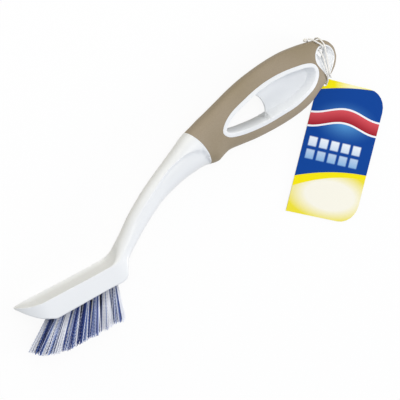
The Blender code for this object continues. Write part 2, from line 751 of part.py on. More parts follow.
KNOT_PLACE = (-5.8, 11.95, -0.2)
STRING_ROUTE = (
    (-4.1, 11.95, 1.0), (-3.3, 11.65, 1.9), (-2.0, 10.35, 3.5), (-0.8, 8.55, 4.9),
    (0.4, 6.85, 5.9), (1.2, 5.25, 5.9), (1.5, 3.75, 4.7), (1.4, 3.65, 1.5),
    (1.4, 3.65, -1.5), (1.6, 3.85, -4.4), (1.9, 5.25, -6.2), (2.4, 7.05, -5.8),
    (2.6, 8.85, -3.6), (2.7, 9.55, -0.8), (2.6, 9.35, 1.9), (2.7, 7.85, 4.4),
    (3.0, 5.35, 5.4), (2.3, 2.35, 6.1), (1.4, -2.35, 6.4), (0.4, -7.25, 6.6),
    (-0.4, -10.75, 6.8), (-0.6, -13.15, 6.3), (0.1, -14.95, 4.9), (1.2, -16.45, 2.8),
    (2.6, -17.25, 0.0), (3.6, -16.95, -3.0), (3.7, -16.75, -5.6), (3.2, -17.45, -7.4),
    (1.9, -19.05, -8.0), (0.9, -20.45, -7.6), (0.2, -21.35, -6.6), (0.0, -21.65, -5.2),
    (-0.2, -21.25, -3.5), (-0.8, -20.15, -1.6), (-1.4, -19.05, 0.6), (-1.9, -17.95, 2.8),
    (-2.4, -16.25, 4.9), (-2.6, -14.45, 6.3), (-2.5, -12.45, 7.3), (-2.2, -9.95, 7.6),
    (-1.3, -6.25, 6.3), (-0.2, -2.25, 4.8), (-0.2, 1.15, 3.4), (-0.4, 3.15, 1.6),
    (-0.4, 3.75, -1.0), (-0.4, 3.75, -4.2), (-1.1, 5.35, -6.5), (-1.7, 7.35, -6.0),
    (-2.6, 9.25, -4.7), (-3.5, 10.85, -3.1), (-4.2, 11.85, -1.8),
)


def from_hang_hole(place):
    x, y, z = place
    return [HANG_CENTRE[0] + x * MM, HANG_CENTRE[1] + y * MM, z * MM]


def string_points():
    route = [from_hang_hole(row) for row in STRING_ROUTE]
    return [Vector(p) for p in smooth(route, STRING_STEP, spaced_by=3)]


def least_self_gap(points):
    """The least gap between two stretches of the string, edge to edge."""
    apart = 4
    gaps = []
    for i in range(len(points) - 1):
        for j in range(i + apart, len(points) - 1):
            a, b = points[i], points[i + 1]
            for k in range(5):
                p = points[j].lerp(points[j + 1], k / 4)
                share = max(0.0, min(1.0, (p - a).dot(b - a) / (b - a).length_squared))
                gaps.append((p - a.lerp(b, share)).length - STRING_DIAMETER)
    return min(gaps)


def build_string(collection, frame, finish):
    points = string_points()
    curve = bpy.data.curves.new("tag_string", "CURVE")
    curve.dimensions = "3D"
    curve.bevel_depth = STRING_DIAMETER / 2
    curve.bevel_resolution = 2
    curve.use_fill_caps = True
    spline = curve.splines.new("POLY")
    spline.points.add(len(points) - 1)
    for target, place in zip(spline.points, points):
        target.co = (*place, 1.0)
    curve.materials.append(finish)
    add_object("tag_string", curve, collection, frame)
    length = sum((b - a).length for a, b in zip(points, points[1:]))
    print(f"tag string: {length / MM:.1f} mm long, {len(points)} points")
    print(f"tag string: least gap to itself {least_self_gap(points) / MM:.2f} mm")

    bm = bmesh.new()
    size = Matrix.Diagonal((KNOT_LENGTH, KNOT_HEIGHT, KNOT_LENGTH, 1.0))
    bmesh.ops.create_uvsphere(bm, u_segments=12, v_segments=8, radius=0.5, matrix=size)
    knot = add_object("string_knot", mesh_from(bm, "string_knot"), collection, frame)
    knot.location = from_hang_hole(KNOT_PLACE)
    knot.data.materials.append(finish)


def seat_on_origin(collection, frame):
    """Moves the frame so that the brush stands centred on the origin, its side at zero."""
    bpy.context.view_layer.update()
    corners = []
    for obj in collection.objects:
        if obj.type == "MESH" and not obj.name.startswith(("tag", "string")):
            corners += [obj.matrix_world @ v.co for v in obj.data.vertices]
    low = [min(c[axis] for c in corners) for axis in range(3)]
    high = [max(c[axis] for c in corners) for axis in range(3)]
    frame.location = (-(low[0] + high[0]) / 2, -(low[1] + high[1]) / 2, -low[2])


def shade(collection):
    for obj in collection.objects:
        if obj.type == "MESH":
            obj.data.shade_smooth()
            obj.data.set_sharp_from_angle(angle=math.radians(35))


def main():
    clear_scene()
    parts = make_collection("scrub_brush")
    cutters = make_collection(CUTTERS)
    frame = bpy.data.objects.new("brush_frame", None)
    parts.objects.link(frame)
    white = material("white_polypropylene", (0.84, 0.86, 0.88), 0.35)
    soft = material("taupe_soft_grip", (0.35, 0.28, 0.21), 0.7)
    bristle = material("crimped_bristle", (0.20, 0.28, 0.55), 0.5)
    metal = material("anchor_wire", (0.6, 0.6, 0.6), 0.35, 1.0)
    card = material("printed_card", (0.45, 0.62, 0.75), 0.5)
    elastic = material("elastic_string", (0.8, 0.79, 0.74), 0.8)

    handle, grip = build_handle_and_grip(parts, cutters, frame, white, soft)
    all_tufts = tufts()
    combine(handle, tuft_holes(all_tufts, cutters, frame), "DIFFERENCE")
    for index, tuft in enumerate(all_tufts):
        build_tuft(tuft, index, parts, cutters, frame, bristle)
        build_anchor(tuft, parts, frame, metal)
    build_card(parts, cutters, frame, card)
    build_string(parts, frame, elastic)
    shade(parts)
    seat_on_origin(parts, frame)


main()
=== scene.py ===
import json
import math

import bmesh
import bpy
from mathutils import Matrix, Vector

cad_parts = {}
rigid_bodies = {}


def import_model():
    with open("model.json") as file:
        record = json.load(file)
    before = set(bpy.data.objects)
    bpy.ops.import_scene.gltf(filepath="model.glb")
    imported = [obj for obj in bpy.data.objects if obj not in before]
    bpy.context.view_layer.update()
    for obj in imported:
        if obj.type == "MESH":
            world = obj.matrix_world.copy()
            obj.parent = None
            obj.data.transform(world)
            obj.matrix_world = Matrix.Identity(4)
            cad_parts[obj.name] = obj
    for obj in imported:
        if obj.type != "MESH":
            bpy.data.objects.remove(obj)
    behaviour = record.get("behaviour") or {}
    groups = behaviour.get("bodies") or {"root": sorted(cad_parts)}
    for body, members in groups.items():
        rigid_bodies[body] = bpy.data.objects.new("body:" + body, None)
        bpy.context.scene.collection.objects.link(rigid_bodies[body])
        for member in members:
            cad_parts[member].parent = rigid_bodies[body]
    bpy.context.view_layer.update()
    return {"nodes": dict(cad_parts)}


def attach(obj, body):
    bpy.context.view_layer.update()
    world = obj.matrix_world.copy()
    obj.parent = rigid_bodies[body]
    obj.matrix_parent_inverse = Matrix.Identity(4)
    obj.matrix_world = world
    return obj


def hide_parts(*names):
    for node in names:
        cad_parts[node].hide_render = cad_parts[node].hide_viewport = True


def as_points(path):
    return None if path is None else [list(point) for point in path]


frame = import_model()

MM = 0.001

# The part's own drawing frame, before it was seated on its side
SEAT = Vector((-125.99, -30.988, 10.0)) * MM
HEEL_X = 59.0
HEAD_TOP = 13.7

# Camera, with its distance and aim in millimetres from the head's upper side
TOWARDS_CAMERA = Vector((-0.3253, 0.3090, 0.8937))
CAMERA_ROLL = math.radians(27.8)
CAMERA_DISTANCE = 1000.0
HEAD_SIDE = Vector((21.0, 0, 10.0))
AIM_RIGHT, AIM_UP = 84.0, 71.1
LENS = 150.0


def add_camera():
    """A long lens from the brush's face, a little from the head's side and from above it."""
    level = (Vector((1, 0, 0)) - TOWARDS_CAMERA * TOWARDS_CAMERA.x).normalized()
    upright = TOWARDS_CAMERA.cross(level)
    right = math.cos(CAMERA_ROLL) * level - math.sin(CAMERA_ROLL) * upright
    up = math.sin(CAMERA_ROLL) * level + math.cos(CAMERA_ROLL) * upright
    aim = HEAD_SIDE + AIM_RIGHT * right + AIM_UP * up
    data = bpy.data.cameras.new("camera")
    data.sensor_width = 36.0
    data.lens = LENS
    data.clip_end = 20.0
    camera = bpy.data.objects.new("camera", data)
    bpy.context.scene.collection.objects.link(camera)
    turn = Matrix((right, up, TOWARDS_CAMERA)).transposed().to_4x4()
    camera.matrix_world = Matrix.Translation(SEAT + (aim + CAMERA_DISTANCE * TOWARDS_CAMERA) * MM) @ turn
    bpy.context.scene.camera = camera


add_camera()


# Small tools

# Kinds of node that are used most, and the sockets of a mix of two colours
MATHS, VECTOR, RANGE = "ShaderNodeMath", "ShaderNodeVectorMath", "ShaderNodeMapRange"
NOISE, MIX, BUMP = "ShaderNodeTexNoise", "ShaderNodeMix", "ShaderNodeBump"
FACTOR, FROM_COLOUR, TO_COLOUR = 0, 6, 7


def linear(code):
    """An sRGB hex colour as the linear values that shaders take."""
    values = [int(code[i:i + 2], 16) / 255 for i in (1, 3, 5)]
    return (*[v / 12.92 if v <= 0.04045 else ((v + 0.055) / 1.055) ** 2.4 for v in values], 1.0)


def per(size):
    """The scale of a pattern with marks of a size in millimetres, on coordinates in metres."""
    return 1.0 / (size * MM)


def plug(tree, node, inputs):
    """Sets inputs, by name or in order: a value, a socket, or a node for its first live output."""
    for key, value in inputs.items() if isinstance(inputs, dict) else enumerate(inputs):
        if isinstance(value, bpy.types.Node):
            value = next(socket for socket in value.outputs if socket.enabled)
        if isinstance(value, bpy.types.NodeSocket):
            tree.links.new(value, node.inputs[key])
        else:
            node.inputs[key].default_value = value


def add(tree, kind, inputs=(), **settings):
    """Adds a node with its settings and links."""
    node = tree.nodes.new(kind)
    for key, value in settings.items():
        setattr(node, key, value)
    plug(tree, node, inputs)
    return node


def new_material(name):
    """A new material, with its node tree and its main shader."""
    material = bpy.data.materials.new(name)
    material.use_nodes = True
    tree = material.node_tree
    shader = tree.nodes["Principled BSDF"]
    return material, tree, shader


def link_piece(name, mesh, material, body):
    """Makes a mesh a piece of the scene that moves with a body and has a slot for its material."""
    piece = bpy.data.objects.new(name, mesh)
    bpy.context.scene.collection.objects.link(piece)
    mesh.materials.clear()
    mesh.materials.append(material)
    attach(piece, body)
    return piece


def hermite(a, b, slope_a, slope_b, t):
    """A point a share t of the way from a to b, with given slopes at both."""
    return [
        (2 * t**3 - 3 * t**2 + 1) * p
        + (t**3 - 2 * t**2 + t) * m
        + (3 * t**2 - 2 * t**3) * q
        + (t**3 - t**2) * n
        for p, q, m, n in zip(a, b, slope_a, slope_b)
    ]


def smooth(rows, step, closed=False, spaced_by=2):
    """Points of a smooth curve through rows, about a step apart."""
    count = len(rows)
    spans = count if closed else count - 1

    def length(i):
        return math.dist(rows[i % count][:spaced_by], rows[(i + 1) % count][:spaced_by])

    def slope(i, span):
        before = i - 1 if closed or i > 0 else i
        after = i + 1 if closed or i < count - 1 else i
        run = sum(length(k) for k in range(before, after))
        return [(q - p) / run * span for p, q in zip(rows[before % count], rows[after % count])]

    points = []
    for i in range(spans):
        span = length(i)
        pieces = max(1, round(span / step))
        for k in range(pieces):
            a, b = rows[i], rows[(i + 1) % count]
            points.append(hermite(a, b, slope(i, span), slope(i + 1, span), k / pieces))
    if not closed:
        points.append(list(rows[-1]))
    return points


def mesh_of(bm, name):
    """The finished mesh, with its faces pointing outwards."""
    bmesh.ops.recalc_face_normals(bm, faces=bm.faces)
    mesh = bpy.data.meshes.new(name)
    bm.to_mesh(mesh)
    bm.free()
    return mesh


def tool_object(name, bm):
    """A cutting shape, in the drawing frame, in millimetres."""
    tool = bpy.data.objects.new(name, mesh_of(bm, name))
    bpy.context.scene.collection.objects.link(tool)
    return tool


def cut(target, *tools):
    """Takes each tool's shape out of the target, one after another."""
    for tool in tools:
        modifier = target.modifiers.new("cut", "BOOLEAN")
        modifier.operation = "DIFFERENCE"
        modifier.object = tool
        modifier.solver = "EXACT"
        bpy.context.view_layer.update()
        graph = bpy.context.evaluated_depsgraph_get()
        mesh = bpy.data.meshes.new_from_object(target.evaluated_get(graph))
        target.modifiers.clear()
        old = target.data
        target.data = mesh
        bpy.data.meshes.remove(old)


def tube(bm, path, radius_at, sides, closed=False):
    """A tube along path, with UVs: the distance along it, and round it from 0 to 1."""
    uv = bm.loops.layers.uv.verify()
    count = len(path)
    normal = None
    rings = []
    along = [0.0]
    for a, b in zip(path, path[1:]):
        along.append(along[-1] + (b - a).length)
    for i, p in enumerate(path):
        before = path[i - 1] if closed or i else path[0]
        after = path[(i + 1) % count] if closed or i < count - 1 else path[-1]
        aim = (after - before).normalized()
        if normal is None:
            normal = aim.orthogonal().normalized()
        normal = (normal - aim * normal.dot(aim)).normalized()
        other = aim.cross(normal)
        ring = []
        for k in range(sides):
            angle = 2 * math.pi * k / sides
            r = radius_at(along[i], angle)
            ring.append(bm.verts.new(p + (normal * math.cos(angle) + other * math.sin(angle)) * r))
        rings.append(ring)
    spans = count if closed else count - 1
    for i in range(spans):
        a, b = rings[i], rings[(i + 1) % count]
        for k in range(sides):
            n = (k + 1) % sides
            face = bm.faces.new((a[k], a[n], b[n], b[k]))
            for loop, (u, v) in zip(face.loops, (
                (along[i], k), (along[i], k + 1),
                (along[(i + 1) % count], k + 1), (along[(i + 1) % count], k),
            )):
                loop[uv].uv = (u, v / sides)
    if not closed:
        bm.faces.new(reversed(rings[0]))
        bm.faces.new(rings[-1])


# Materials

# One turn of a yarn along the string, as coarse as it needs to be to show
YARN_PITCH = 0.9

# The card's string hole, and how the card lies, in millimetres and degrees
CARD_HOLE = Vector((246.5, 49.8, -6.5))
CARD_TILT, CARD_TURN = math.radians(1.8), math.radians(-37.0)
# The printed face lies this far out from the middle of the string hole
CARD_FACE = 0.40

# The print, in millimetres from the string hole: x across the card and y up it
# Middle and half axes of each glow
BLUE_GLOW = (22.0, -21.0, 27.0, 15.0)
YELLOW_GLOW = (22.0, 2.0, 15.0, 7.0)
FOOT_GLOW = (24.0, -70.0, 34.0, 17.0)
# Height at the hole, climb and bend of the borders of the top band and of the two at the foot
TOP_BORDER = (-3.2, 0.28, 0.0028)
FOOT_BORDER = (-60.0, 0.32, 0.0032)
PALE_BORDER = (-66.0, 0.45, 0.0046)
RIBBON_HALF, RIBBON_EDGE = 4.0, 1.2
RIBBON_WAVE, RIBBON_TURN, RIBBON_PHASE = 2.6, 0.12, -0.9
RIBBON_CLIMB, RIBBON_HEIGHT = 0.05, -21.0
TILE_PITCH, TILE_GAP, TILE_SHIFT = 8.4, 0.14, 0.31
TILES_FROM, TILES_TO, TILES_FOOT, TILES_TOP = -1.8, 40.0, -50.4, -33.6


def white_polypropylene():
    """Injection-moulded polypropylene, satin: a cool white with soft, broad highlights."""
    material, tree, shader = new_material("moulded_white_polypropylene")
    place = add(tree, "ShaderNodeTexCoord").outputs["Object"]
    # Flow marks change its tint and its gloss a little
    cloud = add(tree, NOISE, {"Vector": place, "Scale": per(22.0)})
    colour = add(tree, MIX, {
        FACTOR: cloud, FROM_COLOUR: linear("#EEF0F2"), TO_COLOUR: linear("#E9ECEE")}, data_type="RGBA")
    patches = add(tree, NOISE, {"Vector": place, "Scale": per(9.0)})
    gloss = add(tree, RANGE, (patches, 0.3, 0.7, 0.30, 0.38))
    # Slight sink marks over the thick parts
    sink = add(tree, NOISE, {"Vector": place, "Scale": per(14.0), "Detail": 1.0})
    bump = add(tree, BUMP, {"Strength": 0.35, "Distance": 0.25 * MM, "Height": sink})
    plug(tree, shader, {"Base Color": colour, "Roughness": gloss, "IOR": 1.49, "Normal": bump})
    return material


def soft_grip_rubber():
    """Thermoplastic rubber moulded over the core: taupe and matt."""
    material, tree, shader = new_material("overmoulded_taupe_rubber")
    place = add(tree, "ShaderNodeTexCoord").outputs["Object"]
    cloud = add(tree, NOISE, {"Vector": place, "Scale": per(40.0)})
    share = add(tree, RANGE, (cloud, 0.3, 0.7, 0.0, 1.0))
    base = add(tree, MIX, {
        FACTOR: share, FROM_COLOUR: linear("#94866C"), TO_COLOUR: linear("#A0927E")}, data_type="RGBA")
    speck = add(tree, NOISE, {"Vector": place, "Scale": per(0.7)})
    dark = add(tree, RANGE, (speck, 0.4, 0.75, 0.0, 0.35))
    colour = add(tree, MIX, {FACTOR: dark, FROM_COLOUR: base, TO_COLOUR: linear("#877962")}, data_type="RGBA")
    gloss = add(tree, RANGE, (cloud, 0.3, 0.7, 0.52, 0.62))
    # The mould's sparked grain, drawn coarser than it is so that it shows
    grain = add(tree, NOISE, {"Vector": place, "Scale": per(0.45), "Detail": 3.0})
    bump = add(tree, BUMP, {"Strength": 0.25, "Distance": 0.08 * MM, "Height": grain})
    plug(tree, shader, {
        "Base Color": colour, "Roughness": gloss, "IOR": 1.5, "Sheen Weight": 0.08, "Normal": bump})
    return material


# Blue dye below the middle of the filaments' tint, milky white above it
FILAMENT_DYES = (
    (0.0, "#22357E"), (0.14, "#3552A6"), (0.42, "#6784C6"),
    (0.50, "#B8C8F0"), (0.58, "#E8EEFF"), (1.0, "#F8FAFF"),
)


def crimped_filament():
    """Extruded polypropylene bristle, dyed blue or left milky white: glossy, in clear bunches."""
    material, tree, shader = new_material("crimped_polypropylene_filament")
    tint, along, inner = (
        add(tree, "ShaderNodeAttribute", attribute_name=name).outputs["Fac"]
        for name in ("tint", "along", "inner"))
    dye = add(tree, "ShaderNodeValToRGB", (tint,))
    stops = dye.color_ramp.elements
    while len(stops) < len(FILAMENT_DYES):
        stops.new(0.5)
    for stop, (place, code) in zip(stops, FILAMENT_DYES):
        stop.position = place
        stop.color = linear(code)
    # Painted shade: the dye is darkened near the roots and along the inner row, where packed filaments shade
    # each other
    roots = add(tree, RANGE, (along, 0.0, 0.4, 0.5, 0.0))
    inner_row_shade = add(tree, RANGE, (along, 0.4, 1.0, 0.95, 0.3))
    inside = add(tree, MATHS, (inner, inner_row_shade), operation="MULTIPLY")
    painted_shade = add(tree, MATHS, (roots, inside), operation="MAXIMUM")
    # The painted shade multiplies the dye towards a dark navy
    colour = add(tree, MIX, {
        FACTOR: painted_shade, FROM_COLOUR: dye, TO_COLOUR: linear("#1C1C30")},
        data_type="RGBA", blend_type="MULTIPLY")
    plug(tree, shader, {"Base Color": colour, "Roughness": 0.28, "IOR": 1.49})
    return material


def anchor_wire():
    """Tinned steel wire rolled flat: grey metal with draw lines along it."""
    material, tree, shader = new_material("flat_tinned_steel_wire")
    place = add(tree, "ShaderNodeTexCoord").outputs["Object"]
    lines = add(tree, NOISE, {"Vector": place, "Scale": per(0.3), "Detail": 3.0})
    colour = add(tree, MIX, {
        FACTOR: lines, FROM_COLOUR: linear("#B9BBBD"), TO_COLOUR: linear("#9A9C9F")}, data_type="RGBA")
    gloss = add(tree, RANGE, (lines, 0.3, 0.7, 0.25, 0.45))
    plug(tree, shader, {"Base Color": colour, "Roughness": gloss, "Metallic": 1.0})
    return material


def elastic_cord():
    """Braided polyester over an elastic core: off-white and dull, with painted shade in grey between yarns.
    """
    material, tree, shader = new_material("braided_elastic_cord")
    uv = add(tree, "ShaderNodeSeparateXYZ", (add(tree, "ShaderNodeTexCoord").outputs["UV"],))
    along = add(tree, MATHS, (uv.outputs["X"], 2 * math.pi / YARN_PITCH), operation="MULTIPLY")
    around = add(tree, MATHS, (uv.outputs["Y"], 4 * math.pi), operation="MULTIPLY")
    # Yarns wound one way and the other; the higher one is on top
    one_way = add(tree, MATHS, (add(tree, MATHS, (along, around), operation="ADD"),), operation="SINE")
    other_way = add(tree, MATHS, (add(tree, MATHS, (along, around), operation="SUBTRACT"),), operation="SINE")
    height = add(tree, MATHS, (one_way, other_way), operation="MAXIMUM")
    # Painted shade: the colour goes grey where the yarns lie low, between them
    share = add(tree, RANGE, (height, -0.8, 0.3, 0.0, 1.0))
    colour = add(tree, MIX, {
        FACTOR: share, FROM_COLOUR: linear("#DEDCD6"), TO_COLOUR: linear("#F1EFEA")}, data_type="RGBA")
    bump = add(tree, BUMP, {"Strength": 0.3, "Distance": 0.05 * MM, "Height": height})
    plug(tree, shader, {"Base Color": colour, "Roughness": 0.75, "Sheen Weight": 0.2, "Normal": bump})
    return material


def printed_card():
    """Coated board printed on its face: yellow bands, a blue field with a ribbon and tiles."""
    material, tree, shader = new_material("printed_coated_board")
    place = add(tree, "ShaderNodeTexCoord").outputs["Object"]
    # Millimetres from the string hole: x across the card, y up it, z out of its face
    flat = add(tree, "ShaderNodeMapping", {
        "Vector": place, "Location": SEAT + CARD_HOLE * MM,
        "Rotation": (CARD_TILT, 0.0, CARD_TURN), "Scale": (MM, MM, MM)}, vector_type="TEXTURE")
    x, y, z = add(tree, "ShaderNodeSeparateXYZ", (flat,)).outputs

    def above(value, edge, soft=0.05):
        """1 where the value is over the edge."""
        return add(tree, RANGE, (value, edge - soft, edge + soft, 0.0, 1.0))

    def between(value, low, high):
        """1 where the value is between two edges."""
        under = add(tree, MATHS, (1.0, above(value, high)), operation="SUBTRACT")
        return add(tree, MATHS, (above(value, low), under), operation="MULTIPLY")

    def above_border(level, slope, bend):
        """1 above a border that climbs across the card and bends down as it goes."""
        climb = add(tree, MATHS, (x, -bend, slope), operation="MULTIPLY_ADD")
        rise = add(tree, MATHS, (climb, x), operation="MULTIPLY")
        return above(add(tree, MATHS, (y, rise), operation="SUBTRACT"), level)

    def from_centre(cx, cy, half_width, half_height):
        """Distance from a point, in units of an ellipse's half axes."""
        dx = add(tree, MATHS, (x, 1.0 / half_width, -cx / half_width), operation="MULTIPLY_ADD")
        dy = add(tree, MATHS, (y, 1.0 / half_height, -cy / half_height), operation="MULTIPLY_ADD")
        dy_squared = add(tree, MATHS, (dy, dy), operation="MULTIPLY")
        both = add(tree, MATHS, (dx, dx, dy_squared), operation="MULTIPLY_ADD")
        return add(tree, MATHS, (both,), operation="SQRT")

    # The ribbon's middle follows a slow wave across the blue field
    phase = add(tree, MATHS, (x, RIBBON_TURN, RIBBON_PHASE), operation="MULTIPLY_ADD")
    wave = add(tree, MATHS, (phase,), operation="SINE")
    slope = add(tree, MATHS, (x, RIBBON_CLIMB, RIBBON_HEIGHT), operation="MULTIPLY_ADD")
    middle = add(tree, MATHS, (wave, RIBBON_WAVE, slope), operation="MULTIPLY_ADD")
    line = add(tree, MATHS, (y, middle), operation="SUBTRACT")

    # Two rows of small tiles below it
    across = add(tree, MATHS, (x, 1.0 / TILE_PITCH, TILE_SHIFT), operation="MULTIPLY_ADD")
    upward = add(tree, MATHS, (y, 1.0 / TILE_PITCH), operation="MULTIPLY")
    column = add(tree, MATHS, (across,), operation="FRACT")
    row = add(tree, MATHS, (upward,), operation="FRACT")
    in_column, in_row = (between(value, TILE_GAP, 1 - TILE_GAP) for value in (column, row))
    tile = add(tree, MATHS, (in_column, in_row), operation="MULTIPLY")
    field = (between(x, TILES_FROM, TILES_TO), between(y, TILES_FOOT, TILES_TOP))
    area = add(tree, MATHS, field, operation="MULTIPLY")
    tiles = add(tree, MATHS, (tile, area), operation="MULTIPLY")

    # Each ink runs from one colour to another
    blue_share, yellow_share, foot_share = (
        add(tree, RANGE, (from_centre(*glow), core, 1.0, 1.0, 0.0))
        for glow, core in ((BLUE_GLOW, 0.0), (YELLOW_GLOW, 0.2), (FOOT_GLOW, 0.55)))
    inks = {}
    for name, share, first, last in (
        ("blue", add(tree, MATHS, (blue_share, 1.7), operation="POWER"), "#064397", "#5BA2DC"),
        ("red", add(tree, RANGE, (line, -RIBBON_HALF, RIBBON_HALF, 0.0, 1.0)), "#9E1B2B", "#D9525B"),
        ("tile", add(tree, RANGE, (y, -50.0, -34.0, 0.0, 1.0)), "#7FAEDB", "#F2F6FA"),
        ("yellow", yellow_share, "#F9EB06", "#FBF6C0"),
        ("foot", foot_share, "#EEE03A", "#F8F5E6"),
        ("board", add(tree, NOISE, {"Vector": place, "Scale": per(1.1)}), "#F3F2EC", "#E6E4DB"),
    ):
        inks[name] = add(tree, MIX, {
            FACTOR: share, FROM_COLOUR: linear(first), TO_COLOUR: linear(last)}, data_type="RGBA")

    # The print's layers in turn: the ink lies within the first share, or outside it
    colour = inks["blue"]
    for where, ink, within in (
        (between(line, -RIBBON_HALF - RIBBON_EDGE, RIBBON_HALF + RIBBON_EDGE), linear("#F5F6F8"), True),
        (between(line, -RIBBON_HALF, RIBBON_HALF), inks["red"], True),
        (tiles, inks["tile"], True),
        (above_border(*TOP_BORDER), inks["yellow"], True),
        (above_border(*FOOT_BORDER), linear("#F6E60A"), False),
        (above_border(*PALE_BORDER), inks["foot"], False),
    ):
        under, over = (colour, ink) if within else (ink, colour)
        colour = add(tree, MIX, {FACTOR: where, FROM_COLOUR: under, TO_COLOUR: over}, data_type="RGBA")

    # Bare board on the back and at the edges
    face = above(z, CARD_FACE, 0.02)
    coated = add(tree, MIX, {FACTOR: face, FROM_COLOUR: inks["board"], TO_COLOUR: colour}, data_type="RGBA")
    gloss = add(tree, RANGE, (face, 0.0, 1.0, 0.7, 0.4))
    plug(tree, shader, {"Base Color": coated, "Roughness": gloss, "Specular IOR Level": 0.1})
    return material


WHITE = white_polypropylene()
TAUPE = soft_grip_rubber()
FILAMENT = crimped_filament()
CORD = elastic_cord()
CARD = printed_card()
STEEL = anchor_wire()


# Elastic string: the part's own route, in millimetres of its drawing frame. Eight points lie up to
# 0.5 mm from the part's, on the wall of the hang hole, which is a little wider here

STRING_DIAMETER = 1.1
STRING_SIDES = 12
STRING_STEP = 0.16
# Share of the string's radius by which the braid's yarns rise and fall
BRAID_RELIEF = 0.03
KNOT_PLACE = Vector((240.7, 83.4, -0.2))
# The knot is a trefoil: its middle radius, how far that swings, its half depth and its points
KNOT_RADIUS, KNOT_SWING, KNOT_DEPTH, KNOT_POINTS = 0.62, 0.34, 0.42, 96
STRING_ROUTE = (
    (242.4, 83.4, 1.0), (243.2, 83.1, 1.9), (244.5, 81.8, 3.5), (245.7, 80.0, 4.9),
    (246.9, 78.3, 5.9), (247.7, 76.7, 5.9), (248.0, 74.8, 4.7), (247.9, 74.6, 1.5),
    (247.9, 74.6, -1.5), (248.1, 74.9, -4.4), (248.4, 76.7, -6.2), (248.9, 78.5, -5.8),
    (249.1, 80.3, -3.6), (249.2, 81.0, -0.8), (249.1, 80.8, 1.9), (249.2, 79.3, 4.4),
    (249.5, 76.8, 5.4), (248.8, 73.8, 6.1), (247.9, 69.1, 6.4), (246.9, 64.2, 6.6),
    (246.1, 60.7, 6.8), (245.9, 58.3, 6.3), (246.6, 56.5, 4.9), (247.7, 55.0, 2.8),
    (249.1, 54.2, 0.0), (250.1, 54.5, -3.0), (250.2, 54.7, -5.6), (249.7, 54.0, -7.4),
    (248.4, 52.4, -8.0), (247.4, 51.0, -7.6), (246.7, 50.1, -6.6), (246.5, 49.8, -5.2),
    (246.3, 50.2, -3.5), (245.7, 51.3, -1.6), (245.1, 52.4, 0.6), (244.6, 53.5, 2.8),
    (244.1, 55.2, 4.9), (243.9, 57.0, 6.3), (244.0, 59.0, 7.3), (244.3, 61.5, 7.6),
    (245.2, 65.2, 6.3), (246.3, 69.2, 4.8), (246.3, 72.6, 3.4), (246.1, 74.2, 1.6),
    (246.1, 74.7, -1.0), (246.1, 74.8, -4.2), (245.4, 76.8, -6.7), (244.8, 78.8, -6.0),
    (243.9, 80.7, -4.7), (243.0, 82.3, -3.1), (242.3, 83.3, -1.8),
)


def scale_uv(bm):
    """Turns the tube's UVs from metres to millimetres along it."""
    uv = bm.loops.layers.uv.verify()
    for face in bm.faces:
        for loop in face.loops:
            loop[uv].uv.x /= MM


def string_and_knot():
    """The braided elastic, hitched through the hang hole and the card, and its knot."""
    fine = [Vector(p) for p in smooth([list(p) for p in STRING_ROUTE], STRING_STEP, spaced_by=3)]
    path = [SEAT + p * MM for p in fine]

    def braid(along, angle):
        turn = along / MM * 2 * math.pi / YARN_PITCH
        yarn = max(math.sin(turn + 2 * angle), math.sin(turn - 2 * angle))
        return STRING_DIAMETER / 2 * MM * (1 - BRAID_RELIEF + BRAID_RELIEF * yarn)

    bm = bmesh.new()
    tube(bm, path, braid, STRING_SIDES)
    scale_uv(bm)
    mesh = mesh_of(bm, "elastic_string")
    mesh.shade_smooth()
    string = link_piece("elastic_string", mesh, CORD, "brush")

    knot = []
    for k in range(KNOT_POINTS):
        t = 2 * math.pi * k / KNOT_POINTS
        out = KNOT_RADIUS + KNOT_SWING * math.cos(3 * t)
        offset = Vector((out * math.cos(2 * t), KNOT_DEPTH * math.sin(3 * t), out * math.sin(2 * t)))
        knot.append(SEAT + (KNOT_PLACE + offset) * MM)
    bm = bmesh.new()
    tube(bm, knot, braid, STRING_SIDES, closed=True)
    scale_uv(bm)
    mesh = mesh_of(bm, "string_knot_tied")
    mesh.shade_smooth()
    tied = link_piece("string_knot_tied", mesh, CORD, "brush")
    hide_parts("tag_string")
    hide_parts("string_knot")
    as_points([tuple(p) for p in path[::4]] + [tuple(path[-1])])


string_and_knot()


# Handle: sections square to the centre line, in millimetres of the drawing frame

HEAD_LENGTH = 42.0
HEAD_HALF_WIDTH = 10.0
HEEL_RISE = 1.1
DISH_DEPTH = 1.6
# Share of the nose over which the dish fades in
DISH_FADE = 0.6
# How much smaller a share the corners take beside the dish
CRISPER_TOP = 0.15
NOSE_LENGTH = 17.0
NOSE_LIFT = 2.5
NOSE_UNDERCUT = 1.5
NOSE_TIP = 1.0
RIM_WIDTH = 2.8
# Half the web's thickness
WEB_HALF = 0.8
HANG_WALL = 1.2
NOSE_STEPS, HEAD_STEPS = 25, 21
# Share of the head with even sections, before the neck begins
HEAD_EVEN = 0.85
# Share of the head's length over which its underside is cut away to the nose
UNDERCUT_OVER = 0.1
# Share of a section's half sizes that its rounded corners take
HEAD_CORNER = 0.2
# How full the nose is from above, and how straight its keel climbs
NOSE_FULLNESS, KEEL_STRAIGHT = 0.7, 0.48


def underside(x):
    """Height of the head's underside, which rises to the heel and is cut under at the nose."""
    along = (x - NOSE_LENGTH) / HEAD_LENGTH
    ahead = max(0.0, UNDERCUT_OVER - along) / UNDERCUT_OVER
    return HEEL_RISE * max(along, 0.0) + NOSE_UNDERCUT * min(ahead, 1.0) ** 2


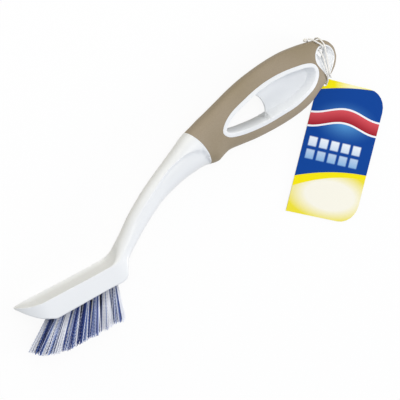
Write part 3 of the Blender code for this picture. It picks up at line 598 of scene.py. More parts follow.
def head_sections():
    """Sections of the nose, which closes in a quarter wave, and of the head behind it."""
    rows = []
    tip_under = HEAD_TOP + NOSE_LIFT - NOSE_TIP
    for k in range(NOSE_STEPS):
        s = math.cos(math.pi / 2 * k / NOSE_STEPS)
        top = HEAD_TOP + NOSE_LIFT * s**2
        keel = KEEL_STRAIGHT * s + (1 - KEEL_STRAIGHT) * s**2
        bottom = NOSE_UNDERCUT + (tip_under - NOSE_UNDERCUT) * keel
        half_width = max(NOSE_TIP / 2, HEAD_HALF_WIDTH * (1 - s**2) ** NOSE_FULLNESS)
        dish = DISH_DEPTH * min(1.0, (1 - s) / DISH_FADE)
        rows.append((
            NOSE_LENGTH * (1 - s), (top + bottom) / 2, 0.0,
            (top - bottom) / 2, half_width, HEAD_CORNER, dish))
    for k in range(HEAD_STEPS + 1):
        x = NOSE_LENGTH + HEAD_LENGTH * HEAD_EVEN * k / HEAD_STEPS
        half = (HEAD_TOP - underside(x)) / 2
        rows.append((x, HEAD_TOP - half, 0.0, half, HEAD_HALF_WIDTH, HEAD_CORNER, DISH_DEPTH))
    return rows


# Place from the heel, lean in degrees, half height, half width, share of corner and depth of dish
NECK_SECTIONS = (
    (0.5, 0.6, 9.0, 6.51, 10.0, 0.20, 1.6),
    (6.2, 0.5, 12.6, 6.85, 10.0, 0.24, 1.28),
    (10.2, 1.7, 15.7, 6.99, 9.8, 0.36, 0.64),
    (12.8, 4.4, 16.0, 6.14, 9.2, 0.55, 0.16),
    (15.0, 7.6, 19.0, 5.35, 8.4, 0.75, 0.0),
    (18.4, 10.7, 29.6, 5.35, 7.7, 0.88, 0.0),
    (24.2, 15.1, 40.0, 5.61, 7.21, 0.92, 0.0),
    (32.6, 21.6, 38.0, 6.27, 7.0, 0.94, 0.0),
    (40.9, 27.1, 34.5, 6.6, 7.0, 0.94, 0.0),
    (48.9, 31.9, 32.5, 6.93, 7.14, 0.94, 0.0),
    (58.2, 36.2, 30.0, 7.66, 7.56, 0.94, 0.0),
    (67.6, 39.9, 26.0, 8.65, 8.26, 0.93, 0.0),
)
# As the neck's, without a dish
GRIP_SECTIONS = (
    (76.3, 42.9, 20.0, 10.1, 9.0, 0.92), (83.8, 45.3, 14.5, 11.71, 9.6, 0.90),
    (93.0, 46.2, 13.5, 13.87, 10.0, 0.88), (97.9, 48.0, 13.5, 13.81, 10.0, 0.86),
    (102.7, 49.4, 13.0, 13.81, 10.0, 0.85), (112.6, 50.8, 10.0, 15.75, 10.0, 0.85),
    (122.5, 52.1, 8.0, 17.81, 10.0, 0.85), (132.4, 53.4, 7.0, 19.26, 10.0, 0.85),
    (142.3, 54.5, 6.0, 20.09, 10.0, 0.85), (152.1, 55.6, 4.0, 20.4, 9.8, 0.85),
    (162.0, 56.6, 0.0, 20.05, 9.4, 0.85), (171.0, 57.4, -3.0, 18.71, 8.7, 0.86),
    (179.5, 58.9, -5.0, 16.12, 7.8, 0.87), (186.5, 60.0, -6.0, 13.61, 6.8, 0.88),
    (191.8, 60.7, -6.5, 11.02, 5.6, 0.89), (195.5, 61.0, -6.0, 7.96, 4.2, 0.90),
    (197.7, 61.3, -5.0, 4.49, 2.5, 0.90),
)
MID = HEAD_TOP / 2
BUTT_END = Vector((HEEL_X + 198.6, MID + 61.4, 0.0))
# The dish's points across, and how flat its floor is
DISH_POINTS = 16
DISH_FLATNESS = 5


def upper_sections():
    """The sections of the neck and the grip, placed in the drawing frame."""
    return [(HEEL_X + x, MID + y, *rest) for x, y, *rest in NECK_SECTIONS] + [
        (HEEL_X + x, MID + y, lean, a, b, corner, 0.0) for x, y, lean, a, b, corner in GRIP_SECTIONS
    ]


# The flute on each side of the neck: its crease, in the side view
FLUTE_CREASE = (
    (80.2, 25.6), (88.9, 30.9), (100.6, 38.2), (110.4, 44.3), (119.8, 49.7), (127.0, 52.7),
    (134.1, 54.5), (141.3, 54.3), (145.0, 53.0), (147.2, 51.0), (147.9, 48.0),
)
FLUTE_LINE = [Vector(p[:2]) for p in smooth([list(p) for p in FLUTE_CREASE], 2.0)]
FLUTE_DEPTH = 1.4
# The crease's edge turns down over this distance
FLUTE_EDGE = 1.5
FLUTE_START, FLUTE_RUNOUT = 80.2, 35.0
# Share of the half width from which the side is pressed in fully
FLUTE_FULL_FROM = 0.55


def flute(point):
    """How far the side is pressed in at a point: a crisp edge at the crease, easing below it."""
    if not FLUTE_START < point.x < FLUTE_CREASE[-1][0] + FLUTE_EDGE:
        return 0.0
    best = None
    for a, b in zip(FLUTE_LINE, FLUTE_LINE[1:]):
        run = b - a
        share = max(0.0, min(1.0, (point.xy - a).dot(run) / run.length_squared))
        offset = point.xy - (a + run * share)
        inside = run.x * offset.y - run.y * offset.x < 0
        if best is None or offset.length < best[0]:
            best = (offset.length, inside)
    distance, inside = best
    if not inside:
        return 0.0
    fade = min(1.0, (point.x - FLUTE_START) / FLUTE_RUNOUT)
    return FLUTE_DEPTH * fade * math.sin(math.pi / 2 * min(1.0, distance / FLUTE_EDGE))


def ring(section, corner_points, growth=0.0, fluted=False):
    """One closed section: elliptical corners joined by flats, with a dished top."""
    x, y, lean, a, b, corner, dish = section
    a, b = a + growth, b + growth
    up = Vector((-math.sin(math.radians(lean)), math.cos(math.radians(lean)), 0.0))
    outline = []
    for quarter in range(4):
        side = 1 if quarter in (0, 3) else -1
        top = 1 if quarter < 2 else -1
        rounding = corner - CRISPER_TOP * dish / DISH_DEPTH if quarter < 2 else corner
        flat = 1.0 - rounding
        for k in range(corner_points):
            angle = math.radians(90 * (quarter + k / (corner_points - 1)))
            outline.append((b * (side * flat + rounding * math.cos(angle)),
                            a * (top * flat + rounding * math.sin(angle))))
        if quarter == 0:
            for k in range(1, DISH_POINTS):
                across = math.cos(math.pi * k / DISH_POINTS)
                outline.append((across * flat * b, a - dish * (1 - abs(across) ** DISH_FLATNESS)))
    centre = Vector((x, y, 0.0))
    points = []
    for across, above in outline:
        point = centre + up * above
        press = flute(point) if fluted else 0.0
        keep = 1.0 - press / b * min(1.0, abs(across) / (FLUTE_FULL_FROM * b)) if press else 1.0
        points.append(point + Vector((0, 0, across * keep)))
    return points


def loft(name, sections, corner_points, growth=0.0, fluted=False):
    """A closed skin over sections, drawn to a point at the butt."""
    bm = bmesh.new()
    rings = [[bm.verts.new(p) for p in ring(s, corner_points, growth, fluted)] for s in sections]
    for a, b in zip(rings, rings[1:]):
        for k in range(len(a)):
            n = (k + 1) % len(a)
            bm.faces.new((a[k], a[n], b[n], b[k]))
    bm.faces.new(rings[0])
    pole = bm.verts.new(BUTT_END + Vector((growth, 0, 0)))
    for k in range(len(rings[-1])):
        bm.faces.new((rings[-1][k], rings[-1][(k + 1) % len(rings[-1])], pole))
    return tool_object(name, bm)


# The outer edge of the rim round the oval opening, in the side view from the heel
OVAL_POINTS = (
    (103.1, 49.7), (104.8, 53.0), (108.9, 56.5), (114.5, 59.4), (123.1, 62.2),
    (133.3, 65.0), (143.0, 66.7), (153.9, 67.2), (165.0, 66.3), (174.2, 64.5),
    (178.6, 61.8), (179.9, 57.4), (178.0, 52.7), (173.1, 48.0), (164.8, 44.8),
    (156.2, 42.6), (145.9, 41.8), (134.2, 41.1), (124.5, 41.5), (115.9, 42.5),
    (108.4, 44.4), (104.8, 46.5),
)
# The web closes the opening from an arc back towards the butt
WEB_EDGE_CENTRE = Vector((HEEL_X + 127.6, MID + 51.2))
WEB_EDGE_RADIUS = 12.0
WEB_EDGE_ROUND = 0.2
HANG_CENTRE = Vector((HEEL_X + 188.0, MID + 62.6))
HANG_RADIUS, HANG_TIP_RADIUS, HANG_DROP = 7.8, 1.5, 13.8
# At the waist, each point of the hole lies this share of the way to the string's side
HANG_DRAW_IN = 0.6
STRING_SIDE = HANG_CENTRE + Vector((0.4, 6.2))
HANG_LEAN = math.radians(-97.0)
HANG_STEPS, HANG_TIP_STEPS = 40, 12
COLLAR_CENTRE = (HEEL_X + 47.8, MID + 35.4)
COLLAR_RADIUS = 42.5


def oval(distance=0.0):
    """The rim's outer edge, moved out by a distance along its normals."""
    placed = [[HEEL_X + x, MID + y] for x, y in OVAL_POINTS]
    points = [Vector(p[:2]) for p in smooth(placed, 1.5, closed=True)]
    grown = []
    for i, p in enumerate(points):
        along = (points[(i + 1) % len(points)] - points[i - 1]).normalized()
        grown.append(p + Vector((-along.y, along.x)) * distance)
    return grown


def teardrop(distance=0.0):
    """The hang hole: a round top drawn down to a small round tip."""
    radius, tip_radius = HANG_RADIUS + distance, HANG_TIP_RADIUS + distance
    down = Vector((math.cos(HANG_LEAN), math.sin(HANG_LEAN)))
    tip = HANG_CENTRE + down * (HANG_DROP - HANG_TIP_RADIUS)
    opening = math.acos((radius - tip_radius) / (tip - HANG_CENTRE).length)
    crown = []
    for k in range(HANG_STEPS + 1):
        angle = HANG_LEAN - opening - (2 * math.pi - 2 * opening) * k / HANG_STEPS
        crown.append(HANG_CENTRE + radius * Vector((math.cos(angle), math.sin(angle))))
    foot = []
    for k in range(HANG_TIP_STEPS + 1):
        angle = HANG_LEAN + opening - 2 * opening * k / HANG_TIP_STEPS
        foot.append(tip + tip_radius * Vector((math.cos(angle), math.sin(angle))))
    shares = [k / HANG_TIP_STEPS for k in range(1, HANG_TIP_STEPS)]
    near_side = [crown[-1].lerp(foot[0], share) for share in shares]
    far_side = [foot[-1].lerp(crown[0], share) for share in shares]
    return crown + near_side + foot + far_side


# How far cutters reach to either side, and how far past the surface at a mouth
CUT_REACH = 20.0
CLEAR_OF_FACE = 6.0
DISC_SIDES = 256
# Where the surface is looked for from, and the height that stands in where there is none
RAY_START = 30.0
HEIGHT_OFF_SURFACE = 5.0


def stack(name, rings):
    """A closed shape from rings of points that lie over each other."""
    bm = bmesh.new()
    made = [[bm.verts.new(p) for p in r] for r in rings]
    for a, b in zip(made, made[1:]):
        for k in range(len(a)):
            n = (k + 1) % len(a)
            bm.faces.new((a[k], a[n], b[n], b[k]))
    bm.faces.new(made[0])
    bm.faces.new(made[-1])
    return tool_object(name, bm)


def prism(name, outline):
    """A cutter straight through the brush, from one side to the other."""
    return stack(name, [[Vector((p.x, p.y, z)) for p in outline] for z in (-CUT_REACH, CUT_REACH)])


def disc(name, centre, radius):
    """A round cutter straight through the brush."""
    outline = []
    for k in range(DISC_SIDES):
        angle = 2 * math.pi * k / DISC_SIDES
        x = centre[0] + radius * math.cos(angle)
        y = centre[1] + radius * math.sin(angle)
        outline.append(Vector((x, y)))
    return prism(name, outline)


def surface_height(target):
    """A function that gives the upper surface's height over a point of the side view."""
    bpy.context.view_layer.update()

    def height(p):
        hit, place, _, _ = target.ray_cast(Vector((p.x, p.y, RAY_START)), Vector((0, 0, -1)))
        return place.z if hit else HEIGHT_OFF_SURFACE

    return height


LIP_RADIUS = 0.9
LIP_STEPS = 6
LIP_CLEARANCE = 0.05


def lipped(outline_at, height, side, first_rings):
    """Rings of a cutter whose mouth rounds over the surface, after the rings below it."""
    rings = list(first_rings)
    base = outline_at(0.0)
    levels = [height(p) for p in base]
    for k in range(LIP_STEPS + 1):
        angle = math.pi / 2 * k / LIP_STEPS
        out = LIP_RADIUS * (1 - math.cos(angle))
        drop = LIP_RADIUS * (1 - math.sin(angle))
        moved = outline_at(out)
        rings.append([Vector((p.x, p.y, side * (z - drop))) for p, z in zip(moved, levels)])
    moved = outline_at(LIP_RADIUS + LIP_CLEARANCE)
    rings.append([Vector((p.x, p.y, side * (z + CLEAR_OF_FACE))) for p, z in zip(moved, levels)])
    return rings


# The pocket's floor as a share of its mouth: along it, and above and below its middle
POCKET_ALONG, POCKET_ABOVE, POCKET_BELOW = 0.92, 0.95, 0.74
# How far out and how far up its rings lie, as shares: the rounded foot, then the sloping wall
POCKET_FOOT = ((-0.14, 0.0), (0.0, 0.02), (0.10, 0.08))
POCKET_WALL = (0.4, 0.7, 0.95)


def recess(name, height, side):
    """The pocket beside the web: a flat floor, sloping walls and a rounded mouth."""
    base = oval(-RIM_WIDTH)
    centre = sum(base, Vector((0, 0))) / len(base)
    levels = [height(p) for p in base]

    def drawn_in(share, z_share):
        ring_points = []
        for p, top in zip(base, levels):
            offset = p - centre
            tight_y = POCKET_ABOVE if offset.y > 0 else POCKET_BELOW
            place = centre + Vector((offset.x * POCKET_ALONG, offset.y * tight_y)).lerp(offset, share)
            z = WEB_HALF + (top - LIP_RADIUS - WEB_HALF) * z_share
            ring_points.append(Vector((place.x, place.y, side * z)))
        return ring_points

    foot_out, foot_up = POCKET_FOOT[-1]
    rings = [drawn_in(out, up) for out, up in POCKET_FOOT]
    climb = (1 - foot_up) / (1 - foot_out)
    rings += [drawn_in(out, foot_up + climb * (out - foot_out)) for out in POCKET_WALL]
    return stack(name, lipped(lambda d: oval(-RIM_WIDTH + d), height, side, rings))


GAP_CLEARANCE = 0.05
# The cut has to stay clear of the pocket floor's own plane
FLOOR_CLEARANCE = 0.03
# Points of the opening's edge that come closer to the web's arc are left out
ARC_MARGIN = 0.8
WEB_ARC_STEPS, WEB_ROUND_STEPS = 40, 3
# Steps at each end of the arc over which its rounding runs out
WEB_RUNOUT = 3


def gap_rings():
    """The opening through the grip, with the web's arc rounded on both faces."""
    inner = oval(-RIM_WIDTH - GAP_CLEARANCE)
    reach = WEB_EDGE_RADIUS - ARC_MARGIN
    kept = [p for p in inner if p.x < WEB_EDGE_CENTRE.x or (p - WEB_EDGE_CENTRE).length < reach]
    upper = max((p for p in kept if p.y > WEB_EDGE_CENTRE.y), key=lambda p: p.x)
    lower = max((p for p in kept if p.y < WEB_EDGE_CENTRE.y), key=lambda p: p.x)
    start = kept.index(upper)
    first = math.atan2(upper.y - WEB_EDGE_CENTRE.y, upper.x - WEB_EDGE_CENTRE.x)
    last = math.atan2(lower.y - WEB_EDGE_CENTRE.y, lower.x - WEB_EDGE_CENTRE.x)

    def ring_at(z, out):
        arc = []
        for k in range(1, WEB_ARC_STEPS):
            angle = first + (last - first) * k / WEB_ARC_STEPS
            radius = WEB_EDGE_RADIUS + out * min(1.0, k / WEB_RUNOUT, (WEB_ARC_STEPS - k) / WEB_RUNOUT)
            arc.append(WEB_EDGE_CENTRE + radius * Vector((math.cos(angle), math.sin(angle))))
        return [Vector((p.x, p.y, z)) for p in kept[:start + 1] + arc + kept[start + 1:]]

    profile = [(-CUT_REACH, WEB_EDGE_ROUND), (-WEB_HALF - FLOOR_CLEARANCE, WEB_EDGE_ROUND)]
    for k in range(1, WEB_ROUND_STEPS + 1):
        rise = math.sin(math.pi / 2 * k / WEB_ROUND_STEPS)
        profile.append((-WEB_HALF + WEB_EDGE_ROUND * rise, WEB_EDGE_ROUND * (1 - rise)))
    profile += [(-z, out) for z, out in reversed(profile)]
    return [ring_at(z, out) for z, out in profile]


WAIST_STEPS = 4


def hang_rings(height):
    """The hang hole, rounded over at both mouths."""

    def outline_at(distance):
        return teardrop(-HANG_WALL + distance)

    front = lipped(outline_at, height, 1, [])
    back = lipped(outline_at, height, -1, [])
    # Both sides are drafted, so the waist is the narrowest, drawn in towards the string
    waist = []
    for k in range(1 - WAIST_STEPS, WAIST_STEPS):
        level = k / WAIST_STEPS
        share = HANG_DRAW_IN * (1 - level**2)
        waist.append([
            Vector((*p.lerp(STRING_SIDE, share), (height(p) - LIP_RADIUS) * level)) for p in outline_at(0.0)])
    return list(reversed(back)) + waist + front


WELD_GAP, SHORTEST_EDGE = 0.004, 0.002
SHARP_FROM = math.radians(32)


def settle(target, name):
    """Moves a finished piece from the drawing frame to its place, in metres."""
    mesh = target.data
    mesh.transform(Matrix.Translation(SEAT) @ Matrix.Scale(MM, 4))
    mesh.name = name
    bm = bmesh.new()
    bm.from_mesh(mesh)
    bmesh.ops.remove_doubles(bm, verts=bm.verts, dist=WELD_GAP * MM)
    bmesh.ops.dissolve_degenerate(bm, edges=bm.edges, dist=SHORTEST_EDGE * MM)
    bm.to_mesh(mesh)
    bm.free()
    mesh.shade_smooth()
    mesh.set_sharp_from_angle(angle=SHARP_FROM)
    bpy.data.objects.remove(target)
    return mesh


# The sleeve, which takes the skin's room out of the handle, reaches past the surface
SLEEVE_OVERCUT = 2.0
# The core lies deeper than the skin's inner wall, and the skin stays clear of the white plastic
CORE_DEPTH = 1.6
SKIN_DEPTH = 1.5
SKIN_CLEARANCE = 0.08
# The core ends this far before the butt, under the skin
BUTT_SKIN = 6.0
# Number of the neck's section from which the cutters and the skin start, under the collar
CUTTER_FROM, SKIN_FROM = 8, 9
HANDLE_CORNER, SKIN_CORNER, CUTTER_CORNER = 26, 16, 8


def handle_and_grip():
    """The white moulding, with its openings and its core, and the taupe skin over the core."""
    body = head_sections() + smooth(upper_sections(), 0.8)
    grip_rows = smooth(upper_sections()[SKIN_FROM:], 1.0)
    inner_rows = smooth(upper_sections()[CUTTER_FROM:], 2.0)
    core_rows = [s for s in inner_rows if s[0] < BUTT_END.x - BUTT_SKIN]
    handle = loft("handle", body, HANDLE_CORNER, fluted=True)
    height = surface_height(handle)

    # The collar, the rim and the lining stay white
    sleeve = loft("sleeve", inner_rows, CUTTER_CORNER, growth=SLEEVE_OVERCUT)
    core = loft("core", core_rows, CUTTER_CORNER, growth=-CORE_DEPTH)
    cut(sleeve, core, disc("collar", COLLAR_CENTRE, COLLAR_RADIUS),
        prism("rim", oval()), prism("lining", teardrop()))
    pockets = [recess("recess", height, side) for side in (1, -1)]
    hang = stack("hang", hang_rings(height))
    gap = stack("gap", gap_rings())
    cut(handle, sleeve, gap, *pockets, hang)

    grip = loft("grip", grip_rows, SKIN_CORNER)
    cavity = loft("cavity", core_rows, CUTTER_CORNER, growth=-SKIN_DEPTH)
    cut(grip, cavity, disc("wide_collar", COLLAR_CENTRE, COLLAR_RADIUS + SKIN_CLEARANCE),
        prism("wide_rim", oval(SKIN_CLEARANCE)), prism("wide_lining", teardrop(SKIN_CLEARANCE)))
    spare = [o for o in bpy.data.objects if o.name.split(".")[0] in (
        "sleeve", "core", "collar", "rim", "lining", "recess", "hang", "gap", "cavity",
        "wide_collar", "wide_rim", "wide_lining")]
    for tool in spare:
        bpy.data.objects.remove(tool)
    white = link_piece(
        "moulded_handle", settle(handle, "moulded_handle"), WHITE, "brush")
    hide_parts("handle_body")
    soft = link_piece("soft_grip_skin", settle(grip, "soft_grip_skin"), TAUPE, "brush")
    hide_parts("grip_overmould")


handle_and_grip()


# Bristles: one tree makes a row of tufts from a point at each tuft's mouth

TUFT_PITCH = 6.6
TUFTS_IN_ROW = 7
ROWS = (("right", -6.0, 0.0), ("middle", 0.0, -TUFT_PITCH / 2), ("left", 6.0, 0.0))
FIRST_TUFT = NOSE_LENGTH + 5.1
TUFT_HOLE_RADIUS = 1.85
ROOT_DEPTH = 1.2
# Turn from tuft to tuft of the spiral that the filaments stand on, and from row to row
TUFT_TURN, ROW_TURN = 1.7, 5.0
FILAMENTS = 66
FILAMENT_RADIUS = 0.2
# The crimp is drawn a little coarser than it is, so that it shows
CRIMP = 0.26
STRAND_POINTS = 27
FILAMENT_SIDES = 5
# Each filament's own turn aside, its shorter and longer cut, and how far its tint strays
SHAKE = 0.03
CUT_SHORT, CUT_LONG = -0.6, 0.25
TINT_STRAY = 0.28
# Bunches of one tint are a little over a millimetre wide
BUNCHES_PER_MM = 0.85
TINT_CONTRAST, TINT_MIDDLE = 5.4, 0.49
# Passes that find the filaments' lengths, and how soon after the root the crimp is free
TRIM_PASSES = 6
CRIMP_FREED = 6.0
BRISTLE_LENGTH = 21.6
TRIM_BEND, TRIM_RISE = 24.0, 6.0
FRONT_LEAN, REAR_LEAN = 45.0, 15.0
GOLDEN_ANGLE = math.pi * (3 - math.sqrt(5))


def bristle_tree():
    """Turns points at the tufts' mouths into the row's filaments."""
    tree = bpy.data.node_groups.new("bristle_row", "GeometryNodeTree")
    tree.interface.new_socket("Tufts", in_out="INPUT", socket_type="NodeSocketGeometry")
    for name, kind, value in (
        ("Filaments", "NodeSocketInt", FILAMENTS),
        ("Hole radius", "NodeSocketFloat", TUFT_HOLE_RADIUS * MM),
        ("Filament radius", "NodeSocketFloat", FILAMENT_RADIUS * MM),
        ("Crimp", "NodeSocketFloat", CRIMP * MM),
        ("Trim line", "NodeSocketFloat", SEAT.y - BRISTLE_LENGTH * MM),
        ("Trim bends from", "NodeSocketFloat", SEAT.x + TRIM_BEND * MM),
        ("Trim rise", "NodeSocketFloat", TRIM_RISE / TRIM_BEND**2 / MM),
        ("Splay", "NodeSocketFloat", 45.0),
        ("Side splay", "NodeSocketFloat", 34.0),
        ("Seed", "NodeSocketInt", 5),
    ):
        tree.interface.new_socket(name, in_out="INPUT", socket_type=kind).default_value = value
    tree.interface.new_socket("Geometry", in_out="OUTPUT", socket_type="NodeSocketGeometry")
    given = add(tree, "NodeGroupInput").outputs

    copies = add(tree, "GeometryNodeDuplicateElements", {
        "Geometry": given["Tufts"], "Amount": given["Filaments"]}, domain="POINT")
    number = copies.outputs["Duplicate Index"]
    serial = add(tree, "GeometryNodeInputIndex")
    aim, side, tuft_turn, wave, crimp_way = (
        add(tree, "GeometryNodeInputNamedAttribute", {"Name": name}, data_type=kind)
        for name, kind in (("aim", "FLOAT_VECTOR"), ("side", "FLOAT_VECTOR"), ("turn", "FLOAT"),
                           ("wave", "FLOAT"), ("crimp_way", "FLOAT_VECTOR")))

    def own(low, high, salt):
        """A filament's own number between two, from the seed and a salt for each use."""
        seed = add(tree, MATHS, (given["Seed"], salt), operation="ADD")
        return add(tree, "FunctionNodeRandomValue", {2: low, 3: high, "ID": serial, "Seed": seed})

    def combined(across_row, along_z):
        """A vector from its part along the tuft's side and its part along the brush's width."""
        first = add(tree, VECTOR, {0: side, "Scale": across_row}, operation="SCALE")
        second = add(tree, VECTOR, {0: (0.0, 0.0, 1.0), "Scale": along_z}, operation="SCALE")
        return first, second, add(tree, VECTOR, (first, second), operation="ADD")

    # Roots fill the hole on a spiral
    centred = add(tree, MATHS, (number, 0.5), operation="ADD")
    share = add(tree, MATHS, (centred, given["Filaments"]), operation="DIVIDE")
    root_share = add(tree, MATHS, (share,), operation="SQRT")
    reach = add(tree, MATHS, (root_share, given["Hole radius"]), operation="MULTIPLY")
    turn = add(tree, MATHS, (number, GOLDEN_ANGLE, tuft_turn), operation="MULTIPLY_ADD")
    cosine = add(tree, MATHS, (turn,), operation="COSINE")
    sine = add(tree, MATHS, (turn,), operation="SINE")
    over_side = add(tree, MATHS, (reach, cosine), operation="MULTIPLY")
    over_width = add(tree, MATHS, (reach, sine), operation="MULTIPLY")
    along, across, spread = combined(over_side, over_width)
    inward = add(tree, VECTOR, {0: aim, "Scale": -ROOT_DEPTH * MM}, operation="SCALE")
    offset = add(tree, VECTOR, (spread, inward), operation="ADD")
    roots = add(tree, "GeometryNodeSetPosition", {"Geometry": copies, "Offset": offset})

    # Each filament leans out of the tuft, with a little of its own
    shake = add(tree, "ShaderNodeCombineXYZ", [own(-SHAKE, SHAKE, salt) for salt in (11, 12, 13)])
    splay = add(tree, VECTOR, {0: along, "Scale": given["Splay"]}, operation="SCALE")
    side_splay = add(tree, VECTOR, {0: across, "Scale": given["Side splay"]}, operation="SCALE")
    leaning = aim
    for more in (add(tree, VECTOR, (splay, side_splay), operation="ADD"), shake):
        leaning = add(tree, VECTOR, (leaning, more), operation="ADD")
    leaning = add(tree, VECTOR, (leaning,), operation="NORMALIZE")
    place = add(tree, "GeometryNodeInputPosition")
    spot = add(tree, "ShaderNodeSeparateXYZ", (place,)).outputs
    slant = add(tree, "ShaderNodeSeparateXYZ", (leaning,)).outputs

    # Its length reaches the trimmed line, which curves up ahead of a place; found in a few passes
    length = BRISTLE_LENGTH * MM
    for _ in range(TRIM_PASSES):
        tip_x = add(tree, MATHS, (slant["X"], length, spot["X"]), operation="MULTIPLY_ADD")
        ahead = add(tree, MATHS, (given["Trim bends from"], tip_x), operation="SUBTRACT")
        ahead = add(tree, MATHS, (ahead, 0.0), operation="MAXIMUM")
        squared = add(tree, MATHS, (ahead, ahead), operation="MULTIPLY")
        line = add(tree, MATHS, (squared, given["Trim rise"], given["Trim line"]), operation="MULTIPLY_ADD")
        drop = add(tree, MATHS, (line, spot["Y"]), operation="SUBTRACT")
        length = add(tree, MATHS, (drop, slant["Y"]), operation="DIVIDE")
    length = add(tree, MATHS, (length, own(CUT_SHORT * MM, CUT_LONG * MM, 14)), operation="ADD")

    # Bundles of one colour run through the tufts
    in_millimetres = add(tree, VECTOR, {0: place, "Scale": 1 / MM}, operation="SCALE")
    patch = add(tree, NOISE, {
        "Vector": in_millimetres, "W": given["Seed"], "Scale": BUNCHES_PER_MM, "Detail": 1.0},
        noise_dimensions="4D")
    patch = add(tree, MATHS, (patch, 0.5), operation="SUBTRACT")
    patch = add(tree, MATHS, (patch, TINT_CONTRAST, TINT_MIDDLE), operation="MULTIPLY_ADD")
    tint = add(tree, MATHS, (patch, own(-TINT_STRAY, TINT_STRAY, 15)), operation="ADD")
    # Most filaments are crimped in step, each as far and as wide as it likes
    step = add(tree, MATHS, (own(-1.0, 1.6, 16),), operation="SIGN")
    size = add(tree, MATHS, (step, own(0.6, 1.2, 17)), operation="MULTIPLY")
    way = combined(own(-1.0, 1.0, 18), own(-1.0, 1.0, 19))[2]
    way = add(tree, VECTOR, (way,), operation="NORMALIZE")
    geometry = roots
    for name, kind, value in (
        ("tint", "FLOAT", tint), ("wave", "FLOAT", size), ("crimp_way", "FLOAT_VECTOR", way),
    ):
        geometry = add(tree, "GeometryNodeStoreNamedAttribute", {
            "Geometry": geometry, "Name": name, "Value": value}, data_type=kind, domain="POINT")

    line = add(tree, "GeometryNodeCurvePrimitiveLine", {"Start": (0, 0, 0), "End": (0, 0, 1)})
    strand = add(tree, "GeometryNodeResampleCurve", {"Curve": line, "Count": STRAND_POINTS})
    pointing = add(tree, "FunctionNodeAlignRotationToVector", {"Vector": leaning}, axis="Z")
    stretch = add(tree, "ShaderNodeCombineXYZ", (1.0, 1.0, length))
    stood = add(tree, "GeometryNodeInstanceOnPoints", {
        "Points": geometry, "Instance": strand, "Rotation": pointing, "Scale": stretch})
    real = add(tree, "GeometryNodeRealizeInstances", {"Geometry": stood})

    # The crimp: points step to either side in turn, and hold still at the root
    spline = add(tree, "GeometryNodeSplineParameter").outputs
    odd = add(tree, MATHS, (spline["Index"], 2.0), operation="MODULO")
    odd = add(tree, MATHS, (odd, 2.0, -1.0), operation="MULTIPLY_ADD")
    free = add(tree, MATHS, (spline["Factor"], CRIMP_FREED), operation="MULTIPLY")
    free = add(tree, MATHS, (free, 1.0), operation="MINIMUM")
    held = add(tree, MATHS, (odd, free), operation="MULTIPLY")
    swing = add(tree, MATHS, (wave, given["Crimp"]), operation="MULTIPLY")
    swing = add(tree, MATHS, (held, swing), operation="MULTIPLY")
    crimp = add(tree, VECTOR, {0: crimp_way, "Scale": swing}, operation="SCALE")
    bent = add(tree, "GeometryNodeSetPosition", {"Geometry": real, "Offset": crimp})
    told = add(tree, "GeometryNodeStoreNamedAttribute", {
        "Geometry": bent, "Name": "along", "Value": spline["Factor"]}, data_type="FLOAT", domain="POINT")
    profile = add(tree, "GeometryNodeCurvePrimitiveCircle", {
        "Resolution": FILAMENT_SIDES, "Radius": given["Filament radius"]})
    body = add(tree, "GeometryNodeCurveToMesh", {"Curve": told, "Profile Curve": profile, "Fill Caps": True})
    soft = add(tree, "GeometryNodeSetShadeSmooth", {"Geometry": body})
    whole = add(tree, "GeometryNodeRealizeInstances", {"Geometry": soft})
    dressed = add(tree, "GeometryNodeSetMaterial", {"Geometry": whole, "Material": FILAMENT})
    add(tree, "NodeGroupOutput", {"Geometry": dressed})
    return tree


def tuft_mouths(z, shift, is_inner_row):
    """A mesh of points at a row's tufts, with each tuft's aim, side, first turn and whether it is inside,
    which marks where the filaments get painted shade.
    """
    mesh = bpy.data.meshes.new("tufts")
    full_run = TUFT_PITCH * (TUFTS_IN_ROW - 1)
    places, aims, sides = [], [], []
    for i in range(TUFTS_IN_ROW):
        x = FIRST_TUFT + shift + TUFT_PITCH * i
        lean = math.radians(FRONT_LEAN + (REAR_LEAN - FRONT_LEAN) * (x - FIRST_TUFT) / full_run)
        places.append(SEAT + Vector((x, underside(x), z)) * MM)
        aims += [-math.sin(lean), -math.cos(lean), 0.0]
        sides += [math.cos(lean), -math.sin(lean), 0.0]
    turns = [TUFT_TURN * i + ROW_TURN * z for i in range(TUFTS_IN_ROW)]
    # The middle row's tufts, all but the first and last, are marked for painted shade
    inner = [float(is_inner_row and 0 < i < TUFTS_IN_ROW - 1) for i in range(TUFTS_IN_ROW)]
    mesh.from_pydata(places, [], [])
    mesh.attributes.new("aim", "FLOAT_VECTOR", "POINT").data.foreach_set("vector", aims)
    mesh.attributes.new("side", "FLOAT_VECTOR", "POINT").data.foreach_set("vector", sides)
    mesh.attributes.new("turn", "FLOAT", "POINT").data.foreach_set("value", turns)
    mesh.attributes.new("inner", "FLOAT", "POINT").data.foreach_set("value", inner)
    return mesh


def bristle_rows():
    """Makes each row of tufts from the tree, and a plain mesh of it."""
    tree = bristle_tree()
    for row, z, shift in ROWS:
        base = bpy.data.objects.new("tufts", tuft_mouths(z, shift, row == "middle"))
        bpy.context.scene.collection.objects.link(base)
        modifier = base.modifiers.new("bristles", "NODES")
        modifier.node_group = tree
        bpy.context.view_layer.update()
        graph = bpy.context.evaluated_depsgraph_get()
        made = bpy.data.meshes.new_from_object(base.evaluated_get(graph))
        base.modifiers.clear()
        bpy.data.objects.remove(base)
        made.name = f"bristles_{row}_row"
        piece = link_piece(made.name, made, FILAMENT, "brush")
        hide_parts(*[f"tuft_{row}_{i + 1}" for i in range(TUFTS_IN_ROW)])


bristle_rows()


# CAD nodes that stay

for name, node in frame["nodes"].items():
    if name.startswith("anchor"):
        node.data.materials.clear()
        node.data.materials.append(STEEL)
    if name == "tag_card":
        node.data.materials.clear()
        node.data.materials.append(CARD)


# Floor and light

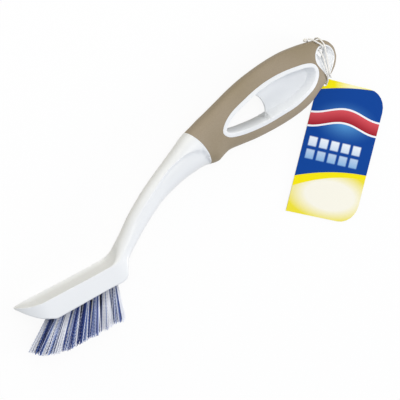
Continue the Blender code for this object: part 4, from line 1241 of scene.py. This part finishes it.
FLOOR_REACH = 3.0
FLOOR_DROP = 0.0002
WHITE_PAPER_GLOW = 0.92
SKY_STRENGTH = 0.59
# Each lamp's place, size in metres, watts and colour; all of them face the brush
LAMPS = (
    ("key", (-0.15, 0.45, 1.22), 0.6, 6.1, "#FFFAF2"),
    ("top", (-0.2, 1.3, 0.35), 0.9, 6.5, "#FFF6E2"),
    ("fill", (1.15, -0.6, 0.4), 0.35, 8.0, "#FFFAF4"),
)


def white_floor():
    """Paper that is white to the camera, keeps the shadow and throws back a dim, warm light."""
    mesh = bpy.data.meshes.new("floor")
    corners = [(FLOOR_REACH * x, FLOOR_REACH * y, 0) for x, y in ((-1, -1), (1, -1), (1, 1), (-1, 1))]
    mesh.from_pydata(corners, [], [(0, 1, 2, 3)])
    ground = bpy.data.objects.new("floor", mesh)
    ground.location.z = -FLOOR_DROP
    bpy.context.scene.collection.objects.link(ground)
    material, tree, shader = new_material("studio_paper")
    rays = add(tree, "ShaderNodeLightPath").outputs
    paper = add(tree, MIX, {
        FACTOR: rays["Is Camera Ray"], FROM_COLOUR: linear("#857E62"), TO_COLOUR: linear("#F4F4F4")},
        data_type="RGBA")
    plug(tree, shader, {"Base Color": paper, "Roughness": 0.9, "Specular IOR Level": 0.0})
    seen = add(tree, MATHS, (rays["Is Camera Ray"], rays["Is Glossy Ray"]), operation="MAXIMUM")
    seen = add(tree, MATHS, (seen, rays["Is Transmission Ray"]), operation="MAXIMUM")
    part = add(tree, MATHS, (seen, WHITE_PAPER_GLOW), operation="MULTIPLY")
    glow = add(tree, "ShaderNodeEmission", {"Color": (1, 1, 1, 1), "Strength": 1.0})
    both = add(tree, "ShaderNodeMixShader", (part, shader, glow))
    plug(tree, tree.nodes["Material Output"], {"Surface": both})
    mesh.materials.append(material)


def even_sky():
    """A cool, even light from all round, which the camera sees as white."""
    world = bpy.data.worlds.new("studio")
    bpy.context.scene.world = world
    world.use_nodes = True
    tree = world.node_tree
    back = tree.nodes["Background"]
    plug(tree, back, {"Color": linear("#EEF4FF"), "Strength": SKY_STRENGTH})
    plain = add(tree, "ShaderNodeBackground", {"Color": (1, 1, 1, 1), "Strength": 1.0})
    rays = add(tree, "ShaderNodeLightPath").outputs
    both = add(tree, "ShaderNodeMixShader", (rays["Is Camera Ray"], back, plain))
    plug(tree, tree.nodes["World Output"], {"Surface": both})


def lamps():
    """Three soft lamps that face the brush."""
    for name, place, size, power, colour in LAMPS:
        lamp = bpy.data.lights.new(name, "AREA")
        lamp.size = size
        lamp.energy = power
        lamp.color = linear(colour)[:3]
        held = bpy.data.objects.new(name, lamp)
        held.location = place
        held.rotation_euler = Vector(place).to_track_quat("Z", "Y").to_euler()
        bpy.context.scene.collection.objects.link(held)


white_floor()
even_sky()
lamps()
bpy.context.scene.view_settings.view_transform = "Standard"
